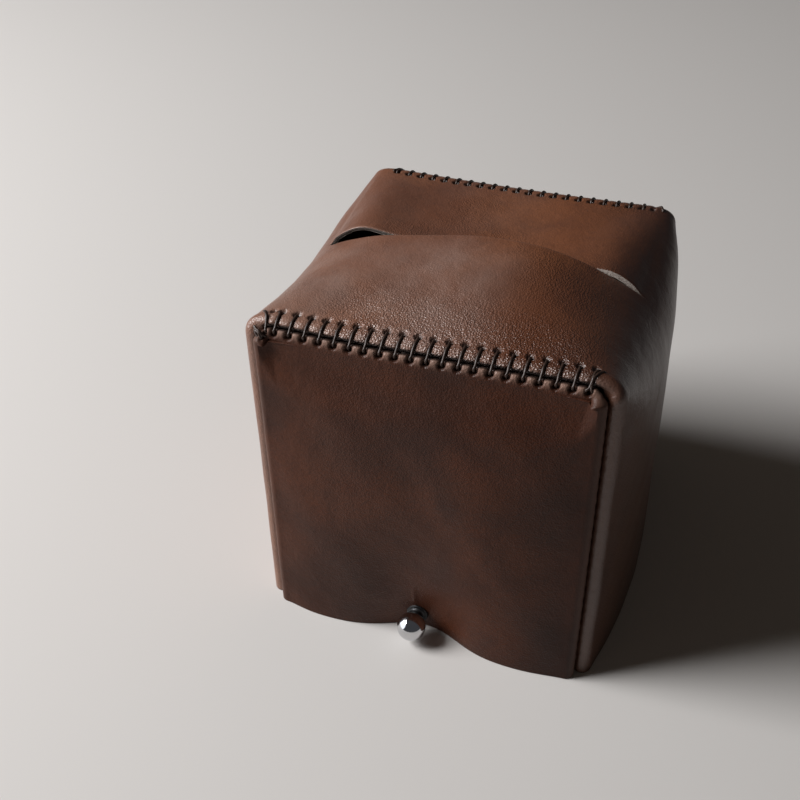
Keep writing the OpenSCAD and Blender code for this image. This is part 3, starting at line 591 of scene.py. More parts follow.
def strip_holes(t):
    """Distance of the row of holes from the cut, and the stitches' lean there."""
    return (tail_at(t) + rolled(t) + HOLE_BACK + roll_pt(t, 0.0)[0])[:, None], 0.0


def lip_undercut(x):
    """How far the rear lip's cut leans back, at the left end, and forward at the right."""
    return LEAN * (smooth(-x / LEAN_LEFT_FADE) - smooth((x - LEAN_RIGHT_FROM) / LEAN_RIGHT_FADE))


def leather_strip(materials):
    t = stations()
    skin = Skin()
    halves = []
    for side in (FRONT, BACK):
        p, c, middle = strip_half(side, t)
        halves.append([side, p, c, grid_normals(p, -side)])
    slit = np.abs(middle) < SLIT_HALF
    shared = unit_rows(halves[0][3][:, -1] + halves[1][3][:, -1])
    made = []
    for side, p, c, n in halves:
        n[:, -1] = np.where(slit[:, None], n[:, -1], shared)
        relief = edge_relief(side, t, p, c, strip_holes(t), STRIP_PUFF, STRIP_EASE_SHARE)
        to_lip = np.abs(p[..., 1] - SLIT_Y - side * lip_gap(p[..., 0]))
        lip = np.maximum(0, 1 - to_lip / LIP_ROUND_R) ** 2 * slit[:, None]
        outer = p + n * (relief - LIP_ROUND_DEPTH * lip)[..., None]
        rows = sorted(set(range(0, p.shape[1], FLESH_ROW_STEP)) | {p.shape[1] - 1})
        inner = (p - n * LEATHER_T)[:, rows]
        for hem in (0, -1):
            outer[hem, :, 2] = inner[hem, :, 2] = 0
        wear_and_highlight, painted_shade = seam_marks(side, t, p[..., 0], c, *strip_holes(t))
        # Along the slit: wear with a painted highlight on the lips, and painted shade on the rear
        # half behind the front lip
        from_lip = np.abs(p[..., 1] - p[:, -1:, 1])
        lip_wear_and_highlight = bell(from_lip, 0, LIP_WEAR_AND_HIGHLIGHT_WIDTH)
        if side == BACK:
            inner[:, -1, 1] += lip_undercut(middle) * slit
            # Painted shade on the rear half just behind the raised front lip
            shade_behind_lip = LIP_SHADE * bell(from_lip, 0, LIP_SHADE_WIDTH)
            painted_shade = painted_shade + shade_behind_lip * slit[:, None] * crown(p[..., 0])
            wear_and_highlight = wear_and_highlight + REAR_LIP_WEAR_AND_HIGHLIGHT * lip_wear_and_highlight * (slit & (middle < 0))[:, None]
        else:
            wear_and_highlight = wear_and_highlight + FRONT_LIP_WEAR_AND_HIGHLIGHT * lip_wear_and_highlight * slit[:, None]
        made.append((side, skin.add(outer, wear_and_highlight, painted_shade), skin.add(inner), rows, outer, inner))
    for layer in (1, 2):
        made[1][layer][~slit, -1] = made[0][layer][~slit, -1]
    for side, out, inn, rows, outer, inner in made:
        flip = side == FRONT
        skin.quads(out, Skin.GRAIN, flip=not flip)
        skin.quads(inn, Skin.FLESH, flip=flip)
        skin.strip(out[:, 0], inn[:, 0], Skin.CUT, flip=not flip)
        skin.cap(out[0], inn[0], rows, Skin.CUT, flip=not flip)
        skin.cap(out[-1], inn[-1], rows, Skin.CUT, flip=flip)
        lips = [out[:, -1]]
        for share in CUT_SHARES:
            p = lerp(outer[:, -1], inner[:, -1], share)
            rough = sum(a * np.sin(middle * k + shift * share) for a, k, shift in FRAYS)
            p[:, 1] += side * (CUT_SWELL + rough) * smooth(lip_gap(middle) / CUT_FADE)
            # Painted shade deep in the raw cut, towards the slit's left end
            deep = smooth(share * 2 - CUT_SHADE_SHARE)
            row = skin.add(p, painted_shade=deep * smooth(-middle / CUT_SHADE_FADE))
            row[~slit] = out[~slit, -1]
            lips.append(row)
        lips.append(inn[:, -1])
        span = np.flatnonzero(slit)
        span = slice(span[0] - 1, span[-1] + 2)
        skin.quads(np.stack([row[span] for row in lips], 0), Skin.RAW, flip=flip)
    return skin.build("strip_leather", materials)


# The front and back panels
def hole_turn(t):
    """Turn of a panel's roll at its row of holes."""
    sine = facing(turn_at(t))[0] - (HOLE_DOWN + roll_end(t)[0]) / roll_at(t)
    return np.degrees(np.arcsin(np.clip(sine, 0, 1)))


def panel_holes(t):
    """Distance of the row of holes from the cut, and the stitches' lean there."""
    return (tail_at(t) + roll_at(t) * np.radians(turn_at(t) - hole_turn(t)))[:, None], SLANT_SHARE


def both_sides(skin, p, n, relief, marks, hem):
    """Adds a grid's grain side and flesh side, both level with the floor at the hem."""
    outer, inner = p + n * relief[..., None], p - n * LEATHER_T
    outer[hem + (2,)] = 0
    inner[hem + (2,)] = 0
    return skin.add(outer, *marks), skin.add(inner)


# A small upright pucker in the leather over the stud
PUCKER_X, PUCKER_Z, PUCKER_W, PUCKER_H, PUCKER_RISE = -3.8, 16.5, 0.9, 3.2, 0.35
# Keeps the share between two distances defined where both are zero
NO_DISTANCE = 0.01


def leather_panel(side, name, materials):
    across = even(ACROSS_N / TOP_N * SEAM_W, TOP_STEP)
    wall = graded(FRONT_H - SEAM_R, *PANEL_STEPS) * KNEE
    up = np.concatenate([wall, np.linspace(KNEE, 1, KNEE_ROWS)[1:]])
    face = face_pt(side, *np.meshgrid(across, up, indexing="ij"))
    x, z = face[..., 0], face[..., 2]
    t = np.concatenate([t_up(up), t_across(across[1:-1]), PATH_END - t_up(up[::-1])])
    profile = profile_rows(t)[:-1]
    band = np.stack([panel_pt(side, t, e, o) for e, o, _ in profile], 1)
    c = np.stack([c for _, _, c in profile], 1)
    ni, nj = face.shape[:2]
    border = [(0, j) for j in range(nj)] + [(i, nj - 1) for i in range(1, ni - 1)]
    border += [(ni - 1, j) for j in range(nj - 1, -1, -1)]
    border = tuple(np.array(border).T)
    # Above the knee the rows lie close, so they take the normals of the last row below it
    face_n = grid_normals(face[:, :len(wall)], -side)
    face_n = np.concatenate([face_n, np.repeat(face_n[:, -1:], len(up) - len(wall), 1)], 1)
    band_n = grid_normals(np.concatenate([band, face[border][:, None]], 1), side)
    face_n[border] = unit_rows(face_n[border] + band_n[:, -1])
    # Distances from the rolls at the top and at the nearer side
    top_t, side_t = t_across(across), t_up(up)
    top_roll, top_turned = rolled(top_t)[:, None], turned(top_t)[:, None]
    below, beside = z[:, -1:] - z, np.minimum(x - x[:1], x[-1:] - x)
    from_top, from_side = top_roll + below, rolled(side_t) + beside
    from_cut = tail_at(top_t)[:, None] + from_top
    side_share = (below + NO_DISTANCE) / (below + beside + 2 * NO_DISTANCE)
    ease = ease_relief(lerp(top_roll, from_side, side_share),
                       lerp(top_turned, turned(side_t), side_share))
    holes = panel_holes(top_t)
    relief = (stitch_relief(side, x, from_cut, *holes, PANEL_PUFF) * (1 - top_turned)
              + unevenness(face, np.minimum(from_top, from_side)) + ease)
    if side == FRONT:
        relief = relief + (PUCKER_RISE * bell(x, PUCKER_X, PUCKER_W) * bell(z, PUCKER_Z, PUCKER_H))
    skin = Skin()
    marks = seam_marks(side, top_t, x, from_cut, *holes)
    out_face, inn_face = both_sides(skin, face, face_n, relief, marks, (slice(None), 0))
    holes = panel_holes(t)
    relief = edge_relief(side, t, band, c, holes, PANEL_PUFF, 1)
    marks = seam_marks(side, t, band[..., 0], c, *holes)
    out_band, inn_band = both_sides(skin, band, band_n[:, :-1], relief, marks,
                                    ([0, -1], slice(None)))
    out_band, inn_band = (np.concatenate([rows, face_rows[border][:, None]], 1)
                          for rows, face_rows in ((out_band, out_face), (inn_band, inn_face)))
    outside = side == FRONT
    for out, inn, flip in ((out_face, inn_face, not outside), (out_band, inn_band, outside)):
        skin.quads(out, Skin.GRAIN, flip=flip)
        skin.quads(inn, Skin.FLESH, flip=not flip)
        skin.strip(out[:, 0], inn[:, 0], Skin.CUT, flip=flip)
    skin.strip(out_band[0], inn_band[0], Skin.CUT, flip=not outside)
    skin.strip(out_band[-1], inn_band[-1], Skin.CUT, flip=outside)
    return skin.build(name, materials)


# Threads: a smooth twisted cord along a route of points in mm
THREAD_STEP, THREAD_SIDES, PLIES, LAY, THREAD_CREASE = 0.3, 10, 3, 2.6, 80
PLY_CORE, PLY_DEPTH = 0.94, 0.07
FIRST_SIDE = (0.3, 0.2, 1.0)


def spline(points, step):
    """Points step apart along a smooth curve through the given ones."""
    p = np.asarray(points, float)
    p = np.vstack([2 * p[0] - p[1], p, 2 * p[-1] - p[-2]])
    out = []
    for a, b, c, d in zip(p[:-3], p[1:-2], p[2:-1], p[3:]):
        n = max(2, int(np.ceil(np.linalg.norm(c - b) / step)))
        s = (np.arange(n) / n)[:, None]
        out.append(0.5 * (2 * b + (c - a) * s + (2 * a - 5 * b + 4 * c - d) * s ** 2
                          + (3 * b - a - 3 * c + d) * s ** 3))
    return np.vstack(out + [p[-2:-1]])


def thread_mesh(name, routes, diameter, materials):
    skin = Skin()
    for route in routes:
        p = spline(route, THREAD_STEP)
        heading = unit_rows(np.gradient(p, axis=0))
        side = np.cross(heading[0], FIRST_SIDE)
        frames = []
        for d in heading:
            side = unit_rows(side - d * (side @ d))
            frames.append(side)
        u = np.array(frames)
        v = np.cross(heading, u)
        length = np.concatenate([[0], np.cumsum(np.linalg.norm(np.diff(p, axis=0), axis=1))])
        angle = np.linspace(0, 2 * np.pi, THREAD_SIDES, endpoint=False)
        twist = np.cos(PLIES * (angle[None] - 2 * np.pi * length[:, None] / (PLIES * LAY)))
        r = diameter / 2 * (PLY_CORE + PLY_DEPTH * twist)
        ring = (p[:, None] + r[..., None] * (u[:, None] * np.cos(angle)[None, :, None]
                                             + v[:, None] * np.sin(angle)[None, :, None]))
        index = skin.add(ring)
        skin.quads(np.concatenate([index, index[:, :1]], 1), 0, flip=True)
        skin.face(index[0], 0, flip=True)
        skin.face(index[-1], 0)
    return skin.build(name, materials, crease=THREAD_CREASE)


# The thread's course at a stitch: its height over the leather in mm, its places over the strip's
# edge as shares of the lean and turns of the roll, and how it enters the holes
THREAD_LIFT, JOINT_LIFT, ENTRY_LIFT_SHARES, LAST_LIFT_SHARE = 0.08, 0.1, (0.4, 0.8), 0.7
OVER_EDGE = ((0.4, 15), (0.76, 33))
LAST_SHARE, LAST_TURN = 0.9, 7
IN_HOLE, HOLE_ENTRY, UNDER_GAP = -0.9, 0.8, 0.2
# The last stitch is sewn twice and crossed: shifts at its upper and its lower end
PLAIN, CROSSED = ((0.0, 0.0),), ((-0.1, 0.2), (0.1, -0.2))
LACING_SHARE = 0.92

# The front lacing starts in a small knot in the left corner
KNOT = ((-53.9, -60.2, 118.0), (-55.4, -60.9, 119.2), (-57.3, -60.3, 119.6), (-57.8, -59.4, 118.3),
        (-56.2, -60.7, 117.4), (-54.9, -61.0, 118.4), (-56.0, -60.6, 120.0), (-57.9, -59.5, 119.4),
        (-57.0, -60.4, 118.0), (-55.2, -61.2, 117.3), (-55.8, -61.0, 119.3), (-58.2, -59.0, 120.3))


def strip_back(turn):
    """Distance behind the seam of the point where the strip's stitched edge has turned so far."""
    return -float(roll_pt(2.0, turn)[0])


def on_strip(side, t, turn, lift, back=None):
    e, o = roll_pt(t, turn)
    if back is not None:
        e = -back
    s, c = facing(turn)
    return strip_pt(side, t, seam_at(t, side)[1] + side * (e + lift * s), o + lift * c)


def on_panel(side, t, turn, lift):
    e, o = roll_pt(t, turn)
    s, c = facing(turn)
    return panel_pt(side, t, e + lift * s, o + lift * c)


def one_stitch(side, k, upper, lower):
    """From under the upper hole, over the edge and down under the lower hole."""
    def at(share, back=0.0):
        shift = lerp(upper, lower, smooth(share / SLANT_SHARE))
        return path_no(side, lace_x(side, k, share + shift), back)
    hole, far = at(0, HOLE_BACK), at(SLANT_SHARE)
    low, under = hole_turn(far), -LEATHER_T - LACE_D / 2 - UNDER_GAP
    entry, enter, rest = HOLE_BACK - HOLE_ENTRY, *ENTRY_LIFT_SHARES
    pts = [on_strip(side, hole, 0.0, depth, HOLE_BACK) for depth in (under, IN_HOLE)]
    pts += [on_strip(side, at(0.0, entry), 0, THREAD_LIFT * enter, entry),
            on_strip(side, at(0.0, strip_back(0)), 0, THREAD_LIFT * rest)]
    pts += [on_strip(side, at(s * SLANT_SHARE / 2, strip_back(a)), a, THREAD_LIFT)
            for s, a in OVER_EDGE]
    pts += [on_panel(side, at(SLANT_SHARE / 2), BUTT_TURN, THREAD_LIFT + JOINT_LIFT),
            on_panel(side, at(SLANT_SHARE * LAST_SHARE), low + LAST_TURN,
                     THREAD_LIFT * LAST_LIFT_SHARE)]
    return pts + [on_panel(side, far, low, depth) for depth in (IN_HOLE, under)]


def lacing_route(side):
    route = []
    for k in reversed(range(STITCHES)):
        for upper, lower in CROSSED if k == STITCHES - 1 else PLAIN:
            route += one_stitch(side, k, upper, lower)
    return route


# Share of the turned leather's width at which the corner seams are sewn
RUN_SHARE = 0.45


def run_pts(side, right, z):
    h = edge_h(side) - SEAM_R
    t = PATH_END - z / h if right else z / h
    ge, go = facing(turn_at(t))
    deep = SEAM_ALLOWANCE * RUN_SHARE
    reach = SEAM_GAP + LEATHER_T + SEAM_THREAD_D / 2
    return [np.array(off_seam(side, t, way * go * reach - ge * deep, go * deep + way * ge * reach))
            for way in (-1, 1)]


def corner_route(side, right):
    high = edge_h(side) - SEAM_R - RUN_PITCH
    count = int((high - RUN_PITCH) // RUN_PITCH)
    route = []
    for k in range(count + 1):
        pair = run_pts(side, right, RUN_PITCH + k * (high - RUN_PITCH) / count)
        route += pair if k % 2 == 0 else pair[::-1]
    return route


# Strap: one piece of leather from the tab inside the back, along the floor to the stud
HINGE = Vector((STRAP_X, 60.418, 0.9)) * MM
STUD_Y = -62.3759
STRAP_FOLD_R = 1.0
TAB_TOP = LEATHER_T + CREASE_GAP + TAB_H
STRAP_TOP_Y = float(HD + BACK_FLARE + roll_pt(0.0, 0.0)[1] + panel_rise(BACK, STRAP_X, TAB_TOP)
                    - LEATHER_T - TAB_GAP - LEATHER_T / 2)
# Steps of the strap's mesh: in mm, as counts, and the least half width of its round end
FINE_STEP, STRAP_STEP, FINE_PAST_TAB, LENGTH_STEP = 0.5, 1.0, 6, 0.05
END_ROWS, STRAP_COLUMNS, END_HALF_W, KEYHOLE_SIDES = 25, 21, 0.1, 32
STRAP_CREASE, STRAP_CUT = 40, 2


def strap_line(s):
    """Middle line of the strap at the arc length s from the tab's top: y, z and its heading."""
    hinge_y, hinge_z = HINGE.y / MM, HINGE.z / MM
    lean = (STRAP_TOP_Y - hinge_y) / (TAB_TOP - hinge_z)
    wall = TAB_TOP - hinge_z - STRAP_FOLD_R
    fold = STRAP_FOLD_R * math.pi / 2
    bend_y = STUD_Y + LEATHER_T + END_GAP + END_BEND_R
    bend_r = END_BEND_R - LEATHER_T / 2
    flat = hinge_y - STRAP_FOLD_R - bend_y
    if s < wall:
        return STRAP_TOP_Y - lean * s, TAB_TOP - s, -lean, -1.0
    s -= wall
    if s < fold:
        a = s / STRAP_FOLD_R
        return (hinge_y - STRAP_FOLD_R * (1 - math.cos(a)),
                hinge_z + STRAP_FOLD_R * (1 - math.sin(a)), -math.sin(a), -math.cos(a))
    s -= fold
    if s < flat:
        return hinge_y - STRAP_FOLD_R - s, hinge_z, -1.0, 0.0
    s -= flat
    turn = min(s / bend_r, math.pi / 2)
    up = max(s - bend_r * math.pi / 2, 0)
    return (bend_y - bend_r * math.sin(turn), hinge_z + bend_r * (1 - math.cos(turn)) + up,
            -math.cos(turn), math.sin(turn))


def strap_length():
    s = 0.0
    while strap_line(s)[1] < BUTTON_Z + STRAP_W / 2 or s < TAB_H * 3:
        s += LENGTH_STEP
    return s


def leather_strap(materials):
    half_w = STRAP_W / 2
    button_s = strap_length() - half_w
    fine_end = TAB_H + FINE_PAST_TAB
    rows = np.concatenate([np.arange(0, fine_end, FINE_STEP),
                           np.arange(fine_end, button_s, STRAP_STEP),
                           button_s + half_w * np.sin(np.linspace(0, np.pi / 2, END_ROWS))])
    end_half = np.sqrt(np.maximum(half_w ** 2 - (rows - button_s) ** 2, END_HALF_W ** 2))
    across = (np.where(rows > button_s, end_half, half_w)[:, None]
              * np.linspace(-1, 1, STRAP_COLUMNS)[None])
    skin = Skin()
    top, low = (skin.add(np.stack([across, rows[:, None] + 0 * across, level + 0 * across], -1))
                for level in (LEATHER_T / 2, -LEATHER_T / 2))
    skin.quads(top, Skin.GRAIN, flip=True)
    skin.quads(low, Skin.FLESH)
    for a, b in ((top, low), (top.T, low.T)):
        skin.strip(a[0], b[0], STRAP_CUT, flip=a is not top)
        skin.strip(a[-1], b[-1], STRAP_CUT, flip=a is top)
    obj = skin.build("strap_leather", materials)
    cut_through(obj, keyhole(button_s))
    v = np.empty(len(obj.data.vertices) * 3)
    obj.data.vertices.foreach_get("co", v)
    out = []
    for x, s, w in v.reshape(-1, 3) / MM:
        y, z, dy, dz = strap_line(max(s, 0.0))
        # The grain side looks down under the floor run, towards the panels at both ends
        out.append((STRAP_X + x, y - w * dz, z + w * dy))
    obj.data.vertices.foreach_set("co", (np.array(out) * MM).ravel())
    obj.data.update()
    obj.data.shade_smooth()
    obj.data.set_sharp_from_angle(angle=math.radians(STRAP_CREASE))
    return obj


def keyhole(button_s):
    """Prism of the buttonhole and its slit, in the strap's own flat measure."""
    r, half = BUTTON_D / 2, BUTTON_SLIT_W / 2
    end = button_s - BUTTON_Z - (math.pi / 2 - 1) * END_BEND_R
    start = math.asin(half / r)
    a = np.linspace(start, 2 * np.pi - start, KEYHOLE_SIDES + 1) - np.pi / 2
    ring = [(-half, end), (half, end), *zip(r * np.cos(a), button_s + r * np.sin(a))]
    skin = Skin()
    index = skin.add(np.array([[(*place, level) for place in ring]
                               for level in (-LEATHER_T, LEATHER_T)]))
    skin.face(index[0], 0, flip=True)
    skin.face(index[1], 0)
    skin.quads(np.concatenate([index, index[:, :1]], 1), 0, flip=True)
    return skin.build("keyhole", [])


def cut_through(obj, tool):
    m = obj.modifiers.new("cut", "BOOLEAN")
    m.object, m.operation, m.solver = tool, "DIFFERENCE", "EXACT"
    bpy.context.view_layer.update()
    done = bpy.data.meshes.new_from_object(obj.evaluated_get(bpy.context.evaluated_depsgraph_get()))
    obj.modifiers.clear()
    obj.data = done
    bpy.data.objects.remove(tool)


# Ball stud, turned from one profile of radius and distance from the panel
DISC_ROUND_R, NECK_FILLET_R, ROUND_POINTS = 0.25, 0.9, 9
BALL_POINTS, STUD_SIDES, STUD_CREASE = 64, 96, 35
# The neck and the disc take a near-black metal: painted shade under the ball
POLISHED, SHADED_FOOT = 0, 1


def stud(materials):
    ball_r, neck_r, flat_r = BALL_D / 2, NECK_D / 2, DISC_D / 2 - DISC_ROUND_R
    ball_rise = math.sqrt(ball_r ** 2 - neck_r ** 2)
    centre = DISC_T + NECK_LEN + ball_rise
    a = np.radians(np.linspace(-90, 90, ROUND_POINTS))
    profile = [(0, 0),
               *zip(flat_r + DISC_ROUND_R * np.cos(a),
                    DISC_ROUND_R * (1 + np.sin(a)) + (DISC_T - 2 * DISC_ROUND_R) * (a > 0))]
    a = np.radians(np.linspace(0, 90, ROUND_POINTS)[1:])
    profile += zip(neck_r + NECK_FILLET_R * (1 - np.sin(a)),
                   DISC_T + NECK_FILLET_R * (1 - np.cos(a)))
    foot = len(profile)
    a = np.linspace(-math.asin(ball_rise / ball_r), math.pi / 2, BALL_POINTS)[:-1]
    profile += [*zip(ball_r * np.cos(a), centre + ball_r * np.sin(a)), (0, centre + ball_r)]
    angle = np.linspace(0, 2 * np.pi, STUD_SIDES, endpoint=False)
    skin = Skin()
    rings = []
    for r, h in profile:
        ring = np.stack([STRAP_X + r * np.cos(angle), STUD_Y - h + 0 * angle,
                         STUD_Z + r * np.sin(angle)], -1)
        index = skin.add(ring[:1] if r == 0 else ring)
        rings.append(np.broadcast_to(index, (STUD_SIDES,)))
    index = np.stack(rings, 0)
    index = np.concatenate([index, index[:, :1]], 1)
    skin.quads(index[:foot + 1], SHADED_FOOT, flip=True)
    skin.quads(index[foot:], POLISHED, flip=True)
    return skin.build("stud_ball", materials, crease=STUD_CREASE)


# Materials
class Nodes:
    """Shader nodes of one tree. A value is a socket, a number, a vector or a colour."""

    def __init__(self, tree):
        self.tree = tree

    def put(self, socket, value):
        if isinstance(value, bpy.types.NodeSocket):
            self.tree.links.new(value, socket)
        else:
            socket.default_value = (*value, 1) if socket.type == "RGBA" else value

    def add(self, kind, inputs={}, **settings):
        n = self.tree.nodes.new("ShaderNode" + kind)
        for key, value in settings.items():
            setattr(n, key, value)
        for key, value in inputs.items():
            self.put(n.inputs[key], value)
        return n

    def mix(self, factor, a, b, kind="RGBA"):
        low, high, out = {"RGBA": (6, 7, 2), "FLOAT": (2, 3, 0)}[kind]
        return self.add("Mix", {0: factor, low: a, high: b}, data_type=kind).outputs[out]

    def spread(self, value, low, high, to_low=0.0, to_high=1.0):
        """The value between low and high, stretched to the given ends."""
        inputs = {"Value": value, "From Min": low, "From Max": high,
                  "To Min": to_low, "To Max": to_high}
        return self.add("MapRange", inputs, interpolation_type="SMOOTHSTEP").outputs["Result"]

    def maths(self, kind, a, b):
        return self.add("Math", {0: a, 1: b}, operation=kind).outputs[0]

    def times(self, a, *others):
        for b in others:
            a = self.maths("MULTIPLY", a, b)
        return a


class Look(Nodes):
    """A material in the making, with patterns by the place on the object."""

    def __init__(self, name):
        self.material = bpy.data.materials.new(name)
        self.material.use_nodes = True
        super().__init__(self.material.node_tree)
        self.place = self.add("TexCoord").outputs["Object"]

    def scaled(self, size, shift=(0, 0, 0)):
        """The place in steps of size mm."""
        inputs = {"Vector": self.place, "Scale": (1 / MM / size,) * 3, "Location": shift}
        return self.add("Mapping", inputs).outputs[0]

    def noise(self, kind, shift=(0, 0, 0)):
        """Noise by the size of its features in mm, its detail, roughness and distortion."""
        size, detail, roughness, distortion = kind
        inputs = {"Vector": self.scaled(size, shift), "Scale": 1.0, "Detail": detail,
                  "Roughness": roughness, "Distortion": distortion}
        return self.add("TexNoise", inputs).outputs["Fac"]

    def pattern(self, kind, ends, shift=(0, 0, 0)):
        return self.spread(self.noise(kind, shift), *ends)

    def cells(self, size):
        inputs = {"Vector": self.scaled(size), "Scale": 1.0}
        return self.add("TexVoronoi", inputs, feature="F1").outputs["Distance"]

    def bump(self, height, depth, after=None):
        """Bump of that depth in mm, on top of the one before."""
        inputs = {"Strength": 1.0, "Distance": depth * MM, "Height": height}
        if after is not None:
            inputs["Normal"] = after
        return self.add("Bump", inputs).outputs["Normal"]

    def mark(self, name):
        return self.add("Attribute", attribute_name=name).outputs["Fac"]

    def finish(self, inputs):
        for key, value in inputs.items():
            self.put(self.tree.nodes["Principled BSDF"].inputs[key], value)
        return self.material


# Patterns of the leather: size in mm, detail, roughness and distortion of a noise, and its ends
PATCHES = (48, 2.0, 0.5, 0.5), (0.36, 0.64)
BLOTCHES = (15, 4.0, 0.6, 0.4), (0.4, 0.72, 0.0, 0.4)
SPECKLE = (1.1, 3.0, 0.65, 0.0), (0.35, 0.7, 0.0, 0.3)
CLOUDS = (22, 3.0, 0.6, 0.3), (0.3, 0.7, 0.55, 1.25)
PEBBLE_PATCHES = (34, 2.0, 0.5, 0.3), (0.45, 0.68, 0.1, 0.6)
CREASES, CREASE_SHIFT, SWELLS = (1.6, 3.0, 0.6, 0.3), (2.0, 1.0, 0.0), (5.0, 3.0, 0.5, 0.4)
FIBRE, FIBRE_ENDS = (5.0, 0.7, 0.8), (0.3, 0.7)
# Zones of the leather: the place along an axis, in metres, and the amounts at its two ends
SHADE_TO_RIGHT_X = (0.012, 0.060)
PAINTED_SHEEN_X, PAINTED_SHEEN_Y = (0.031, -0.004), (0.006, -0.012, 0.25, 1.0)
PAINTED_SHEEN_INNER_X, GRAIN_X = (-0.066, -0.048, 0.15, 1.0), (0.058, 0.046, 0.2, 1.0)
PEBBLES_Y, PEBBLES_X = (-0.016, -0.046), (-0.046, -0.024, 0.3, 1.0)
# Colours and amounts painted on the leather: painted sheen, wear with painted highlight, painted
# shade, and painted shade towards the right
PAINTED_SHEEN_COLOUR, WEAR_AND_HIGHLIGHT_COLOUR = (0.60, 0.47, 0.42), (0.30, 0.19, 0.15)
PAINTED_SHADE_COLOUR, DEEP_PAINTED_SHADE_COLOUR = (0.0065, 0.0035, 0.0028), (0.004, 0.003, 0.0025)
SHADE_TO_RIGHT_SHARE, PAINTED_SHADE_AMOUNT, DEEP_PAINTED_SHADE_AMOUNT = 0.45, 0.92, 0.94
# Size of the pebbles, least relief outside their zones, depths in mm and roughness
PEBBLE_SIZE, LEAST_PEBBLES, CREASE_DEPTH, SWELL_DEPTH = 0.62, 0.1, 0.14, 0.30
SMOOTH_ROUGHNESS, PEBBLED_ROUGHNESS, COAT_ROUGHNESS = 0.58, 0.42, 0.3


def leather(name, deep, warm, dark, shift, pebbled, painted_sheen, shade, coat, ior, wear_and_highlight_amount):
    """Dyed grain side: patches of colour, fine speckle, pebbles in places, wear with painted
    highlight at the rolls and seams, a painted sheen, and painted shade in the holes and towards
    the right.
    """
    look = Look(name)
    axes = look.add("SeparateXYZ", {0: look.place}).outputs
    x, y = axes["X"], axes["Y"]
    base = look.mix(look.pattern(*PATCHES, shift), deep, warm)
    base = look.mix(look.pattern(*BLOTCHES, shift), base, dark)
    base = look.mix(look.pattern(*SPECKLE), base, dark)
    # Painted shade darkens the right, the side turned away from the window, and a painted sheen
    # lies on the rest
    base = look.mix(look.spread(x, *SHADE_TO_RIGHT_X, 0.0, shade), base,
                    tuple(SHADE_TO_RIGHT_SHARE * c for c in dark))
    # A painted sheen: a pale veil on the left and front of the top, where the window's reflection
    # falls
    sheen_mask = look.times(look.spread(x, *PAINTED_SHEEN_X), look.spread(y, *PAINTED_SHEEN_Y),
                       look.spread(x, *PAINTED_SHEEN_INNER_X), look.pattern(*CLOUDS, shift), painted_sheen)
    base = look.mix(sheen_mask, base, PAINTED_SHEEN_COLOUR)
    # Wear with painted highlight lightens the rolls, the puffs between stitches and the slit's lips
    base = look.mix(look.times(look.mark("wear_and_highlight"), wear_and_highlight_amount), base, WEAR_AND_HIGHLIGHT_COLOUR)
    # Painted shade in the holes, grooves and gaps, and behind the front lip
    base = look.mix(look.times(look.mark("painted_shade"), PAINTED_SHADE_AMOUNT), base, PAINTED_SHADE_COLOUR)
    top = look.spread(x, *GRAIN_X)
    zone = look.maths("MAXIMUM", look.pattern(*PEBBLE_PATCHES, shift), look.spread(y, *PEBBLES_Y))
    zone = look.times(zone, look.spread(x, *PEBBLES_X), top)
    relief = look.maths("ADD", look.times(zone, 1 - LEAST_PEBBLES), LEAST_PEBBLES)
    normal = look.bump(look.noise(SWELLS), SWELL_DEPTH)
    normal = look.bump(look.times(look.noise(CREASES, CREASE_SHIFT), top), CREASE_DEPTH, normal)
    normal = look.bump(look.times(look.cells(PEBBLE_SIZE), relief), pebbled, normal)
    rough = look.mix(zone, SMOOTH_ROUGHNESS, PEBBLED_ROUGHNESS, "FLOAT")
    return look.finish({"Base Color": base, "Normal": normal, "Coat Normal": normal,
                        "Roughness": rough, "IOR": ior, "Coat Weight": coat,
                        "Coat Roughness": COAT_ROUGHNESS})


def plain_leather(name, colour, darker, rough, size, depth):
    """Flesh side, raw edge or finished edge, with fibres of that size and depth in mm."""
    look = Look(name)
    fibre = look.noise((size, *FIBRE))
    base = look.mix(look.spread(fibre, *FIBRE_ENDS), darker, colour)
    # Painted shade in the raw cut and in the seam's holes and gaps
    base = look.mix(look.times(look.mark("painted_shade"), DEEP_PAINTED_SHADE_AMOUNT), base, DEEP_PAINTED_SHADE_COLOUR)
    return look.finish({"Base Color": base, "Normal": look.bump(fibre, depth), "Roughness": rough})


def waxed_thread(name, dark, light, noise, depth, rough, specular):
    look = Look(name)
    fibre = look.noise(noise)
    return look.finish({"Base Color": look.mix(fibre, dark, light), "Roughness": rough,
                        "Normal": look.bump(fibre, depth), "Specular IOR Level": specular})


# Smudges on metal: their noise, and the ends of what it does to roughness and to colour
SMUDGES, ROUGHER = (3.0, 2.0, 0.5, 0.0), 0.05
SMUDGED_ROUGH, SMUDGED_COLOUR = (0.35, 0.65), (0.3, 0.7)
METAL_COLOURS = (0.60, 0.61, 0.63), (0.66, 0.66, 0.67)


def polished_metal(name, rough, tone=1.0):
    look = Look(name)
    smudge = look.noise(SMUDGES)
    colours = [tuple(tone * c for c in colour) for colour in METAL_COLOURS]
    return look.finish({
        "Roughness": look.mix(look.spread(smudge, *SMUDGED_ROUGH), rough, rough + ROUGHER, "FLOAT"),
        "Base Color": look.mix(look.spread(smudge, *SMUDGED_COLOUR), *colours), "Metallic": 1.0})


